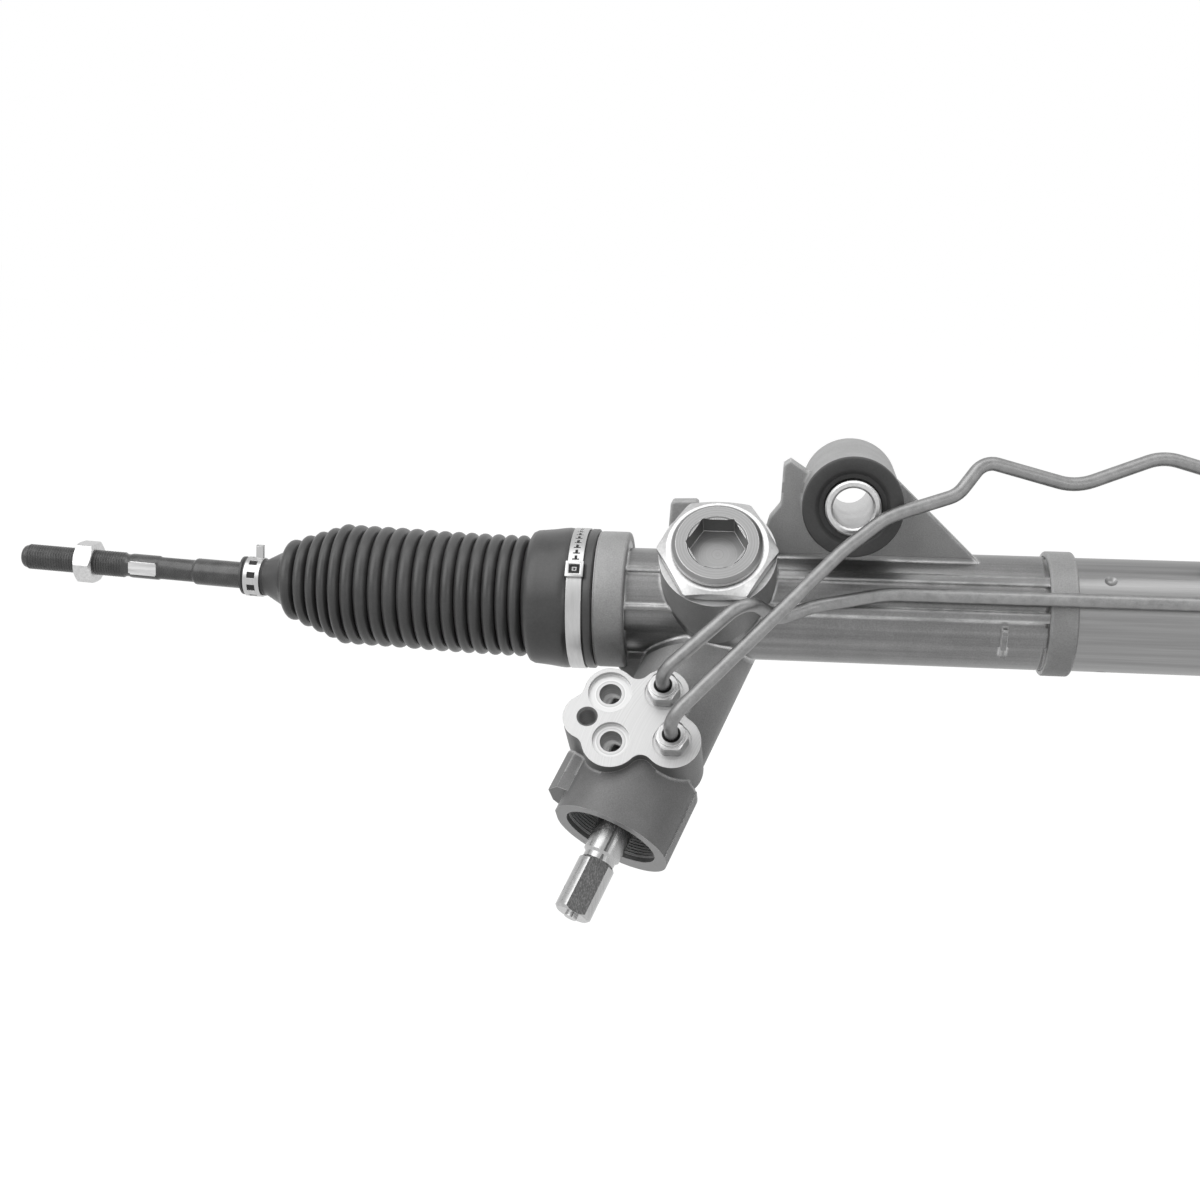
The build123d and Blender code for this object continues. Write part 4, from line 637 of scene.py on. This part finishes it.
# Boots. Blow moulded black rubber bellows, clamped on the housing's collar by a wide cuff and
# on the tie rod by a narrow neck. They fold as the rack slides and bend as the rods swing.
boot_black, tree, surface, place = shader("boot_rubber", 0.05, 0.0, 0.4)
pores = grain(tree, place, 900, 3.0, 0.6)
bloom = grain(tree, place, 45, 4.0, 0.65)
shade = sum_of(tree, vary(tree, bloom, 0.048, 0.080), vary(tree, pores, 0.92, 1.08), "MULTIPLY")
paint(tree, surface, shade)
tree.links.new(vary(tree, bloom, 0.30, 0.44), surface.inputs["Roughness"])
relief(tree, surface, pores, 0.00002)

rack_middle = 205.0
crest_at = (105.1, 111.8, 118.6, 126.2, 133.4, 140.2, 147.9, 155.3, 163.0, 171.4, 179.0, 186.6, 194.2, 201.0,
            208.0, 214.7, 221.8, 229.8)
crest_out = (32.3,) * 14 + (29.8, 27.3, 24.7, 21.8)
fold_depth = 4.3
wall = 1.4
centre_rise = ((97, 0.0), (120, 0.35), (148, 1.2), (168, 2.25), (191, 3.0), (210, 3.9), (229, 4.75),
               (246, 5.7), (262, 6.6))


def rise_at(x):
    """Height of the boot's middle line over the rack's line."""
    for (x0, z0), (x1, z1) in zip(centre_rise, centre_rise[1:]):
        if x <= x1:
            return z0 + (z1 - z0) * max(0.0, x - x0) / (x1 - x0)
    return centre_rise[-1][1]


def fold_outline(first, last):
    """Outer outline of some folds as (station, radius): round crests and narrow valleys."""
    points = []
    for k in range(first, last):
        before = crest_at[k - 1] if k else 2 * crest_at[0] - crest_at[1]
        after = crest_at[k + 1] if k + 1 < len(crest_at) else 2 * crest_at[-1] - crest_at[-2]
        low, high = (before + crest_at[k]) / 2, (crest_at[k] + after) / 2
        valley_in = min(crest_out[k], crest_out[max(k - 1, 0)]) - fold_depth
        valley_out = min(crest_out[k], crest_out[min(k + 1, len(crest_out) - 1)]) - fold_depth
        for step in range(0, 12):
            t = (1 - math.cos(math.pi * step / 12)) / 2
            swell = (1 - abs(2 * t - 1) ** 2.3) ** 0.62
            floor = valley_in + (valley_out - valley_in) * t
            points.append((low + (high - low) * t, floor + (crest_out[k] - floor) * swell))
    return points, (high, valley_out)


def boot_part(name, outline, side, bodies, start, end):
    """Spins a closed outline of (station, radius) round the rack's line and bends it up the rod."""
    bm = lathe([(x, 0, r) for x, r in outline], (1, 0, 0), 120)
    for vert in bm.verts:
        x = vert.co.x
        vert.co.z += rise_at(x)
        vert.co.x = (-x if side == "left" else 2 * rack_middle + x) + yoke_x
    bmesh.ops.scale(bm, vec=(mm, mm, mm), verts=bm.verts[:])
    bmesh.ops.translate(bm, vec=(0, 0, rack_height), verts=bm.verts[:])
    bmesh.ops.recalc_face_normals(bm, faces=bm.faces[:])
    piece = add_piece(name, bm, [boot_black], 50)
    direction = -1 if side == "left" else 1
    ends = [((direction * x + yoke_x + (0 if side == "left" else 2 * rack_middle)) * mm, 0, rack_height)
            for x in (start, end)]
    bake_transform(piece, bodies[0], bodies[1], start=ends[0], end=ends[1])
    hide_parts(side + "_boot")


seam = 12
cuff_outline = [(63.9, 31.15), (63.9, 36.0), (64.6, 36.9), (67.6, 36.9), (68.4, 36.3), (77.6, 36.3), (78.2, 37.0),
                (80.0, 37.2), (82.5, 37.0), (88.0, 36.2), (93.0, 35.7), (96.6, 35.4), (98.8, 34.4), (100.2, 32.0),
                (101.2, 29.6)]
wide_folds, wide_end = fold_outline(0, seam)
narrow_folds, narrow_end = fold_outline(seam, len(crest_at))
wide_inside = [(wide_end[0], wide_end[1] - wall), (101.5, 28.0 - wall), (97.9, 30.0), (97.7, 31.15)]
neck_outline = [narrow_end, (236.5, 14.6), (240.5, 12.4), (244.5, 10.2), (246.0, 9.7), (246.6, 10.1), (248.0, 9.6),
                (257.0, 9.6), (257.6, 10.4), (258.8, 10.3), (259.2, 9.4), (259.2, 7.6)]
narrow_inside = [(245.0, 7.6), (236.0, 12.0), (narrow_end[0], narrow_end[1] - wall), (214.0, 21.0), (205.0, 26.3),
                 (wide_end[0], wide_end[1] - wall)]
folds_start, folds_split, folds_end = 98.0, 190.4, 244.0
wide_part = cuff_outline + wide_folds + [wide_end] + wide_inside
narrow_part = narrow_folds + neck_outline + narrow_inside
for side in ("left", "right"):
    boot_part(side + "_bellows_cuff", wide_part, side, ("housing", "rack"), folds_start, folds_split)
    boot_part(side + "_bellows_neck", narrow_part, side, ("rack", side + "_tie_rod"), folds_split, folds_end)


# Boot clamps. A stainless strap with punched slots and a square buckle on each cuff, and a
# small slotted clip with an ear on each neck.
strap, tree, surface, place = shader("stainless_strap", 0.55, 1.0, 0.3)
rolled = grain(tree, place, 900, 3.0, 0.6, stretch=(1, 0.1, 0.1))
shade = vary(tree, rolled, 0.45, 0.52)
paint(tree, surface, shade)
relief(tree, surface, rolled, 0.00001, 0.0003)

# near-black for the punched slots and the pressed windows: painted shade in the holes
painted_slot_shade, tree, surface, place = shader("painted_slot_shade", 0.02, 0.0, 0.7)
shade_mottle = grain(tree, place, 600, 2.0, 0.5)
shade = vary(tree, shade_mottle, 0.014, 0.028)
paint(tree, surface, shade)
relief(tree, surface, shade_mottle, 0.00002)


def punched_ring(outline, steps, wanted, depth):
    """A ring spun about Z whose outer faces are punched where wanted(turn, station) says so, the punched faces
    painted near-black as shade in the holes.
    """
    bm = lathe([(r, 0, z) for r, z in outline], (0, 0, 1), steps)
    bmesh.ops.recalc_face_normals(bm, faces=bm.faces[:])
    outer = max(r for r, z in outline)
    holes = []
    for face in bm.faces:
        middle = face.calc_center_median()
        reach = math.hypot(middle.x, middle.y)
        outward = face.normal.x * middle.x + face.normal.y * middle.y
        turn = math.degrees(math.atan2(middle.y, middle.x))
        if reach > outer - 0.35 and outward > 0 and wanted(turn, middle.z):
            holes.append(face)
    bmesh.ops.inset_region(bm, faces=holes, thickness=0.12, depth=0, use_even_offset=True)
    bmesh.ops.inset_region(bm, faces=holes, thickness=0.02, depth=-depth)
    for face in holes:
        face.material_index = 1
    return bm


def pressed_plate(wide, high, thick, hole):
    """A small plate with rounded edges and a window pressed in its top, the window's floor painted near-black as
    shade.
    """
    bm = bmesh.new()
    bmesh.ops.create_cube(bm, size=1)
    bmesh.ops.scale(bm, vec=(wide, high, thick), verts=bm.verts[:])
    bmesh.ops.translate(bm, vec=(0, 0, thick / 2), verts=bm.verts[:])
    top = max(bm.faces, key=lambda f: f.calc_center_median().z)
    bmesh.ops.inset_region(bm, faces=[top], thickness=hole)
    bmesh.ops.inset_region(bm, faces=[top], thickness=0.15, depth=-thick * 0.55)
    top.material_index = 1
    edges = [e for e in bm.edges if e.calc_face_angle(0) > 1.0 and e.verts[0].co.z + e.verts[1].co.z > 0.1]
    bmesh.ops.bevel(bm, geom=edges, offset=0.35, segments=3, profile=0.5, affect="EDGES", material=-1)
    return bm


def add_to(bm, other, matrix):
    """Adds another mesh at a place."""
    bmesh.ops.transform(other, matrix=matrix, verts=other.verts[:])
    spare = bpy.data.meshes.new("spare")
    other.to_mesh(spare)
    other.free()
    bm.from_mesh(spare)
    bpy.data.meshes.remove(spare)


def clamp_piece(name, bm, place, body, node_name):
    """Seats a clamp, drawn in millimetres about Z, on a body in place of its CAD node."""
    bmesh.ops.transform(bm, matrix=place @ Matrix.Scale(mm, 4), verts=bm.verts[:])
    bmesh.ops.recalc_face_normals(bm, faces=bm.faces[:])
    piece = add_piece(name, bm, [strap, painted_slot_shade], 35)
    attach(piece, body)
    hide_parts(node_name)


def on_ring(turn, reach, station):
    """A place that stands out from a ring's axis at a turn in degrees."""
    angle = math.radians(turn)
    outward = Vector((math.cos(angle), math.sin(angle), 0))
    sideways = Vector((-math.sin(angle), math.cos(angle), 0))
    seat = Matrix((sideways, Vector((0, 0, 1)), outward)).transposed().to_4x4()
    return Matrix.Translation(outward * reach + Vector((0, 0, station))) @ seat


buckle_turn = 144.0
strap_x = {"left": -134.7, "right": 413.3}
clip_reach = 99.4
strap_outline = [(36.45, 0), (36.45, 8), (37.1, 8), (37.25, 7.8), (37.25, 5.9), (37.25, 4.8), (37.25, 3.2),
                 (37.25, 2.1), (37.25, 0.2), (37.1, 0)]


def strap_slots(turn, z):
    """Slots from the buckle up over the top: turn 90 is the top and 180 is the front."""
    along = (buckle_turn - 9 - turn) % 360
    if along > 92:
        return False
    place = along % 6.0
    return (place < 4.5 and 3.2 < z < 4.8) or (place < 1.5 and 2.1 < z < 5.9)


def clip_slots(turn, z):
    """Nine windows round the clip."""
    return (turn + 12.0) % 40.0 < 19.0 and 2.2 < z < 6.8


clip_outline = [(9.76, 0), (9.76, 9), (10.55, 9), (10.72, 8.8), (10.72, 6.8), (10.72, 4.5), (10.72, 2.2),
                (10.72, 0.2), (10.55, 0)]
for side in ("left", "right"):
    outward = -1 if side == "left" else 1
    # turn 90 is up and 180 is the front, at both ends
    strap_place = Matrix.Translation((strap_x[side] * mm, 0, rack_height)) @ Matrix(
        ((0, 0, outward), (1, 0, 0), (0, 1, 0))).to_4x4()
    ring = punched_ring(strap_outline, 240, strap_slots, 0.55)
    add_to(ring, pressed_plate(8.8, 9.4, 2.2, 2.7), on_ring(buckle_turn, 37.0, 4))
    add_to(ring, pressed_plate(2.4, 2.6, 1.5, 0.9), on_ring(buckle_turn, 37.4, 4))
    clamp_piece(side + "_strap", ring, strap_place, "housing", side + "_boot_band")
    clip_at = ball_at_side[side] + slope_side[side] * clip_reach * mm
    clip_place = facing_along(clip_at, slope_side[side], (0, -outward, 0))
    ring = punched_ring(clip_outline, 96, clip_slots, 0.45)
    add_to(ring, pressed_plate(2.4, 4.2, 7.2, 0.6), on_ring(90 * outward, 10.4, 2.4))
    clamp_piece(side + "_clip", ring, clip_place, side + "_tie_rod", side + "_boot_clip")
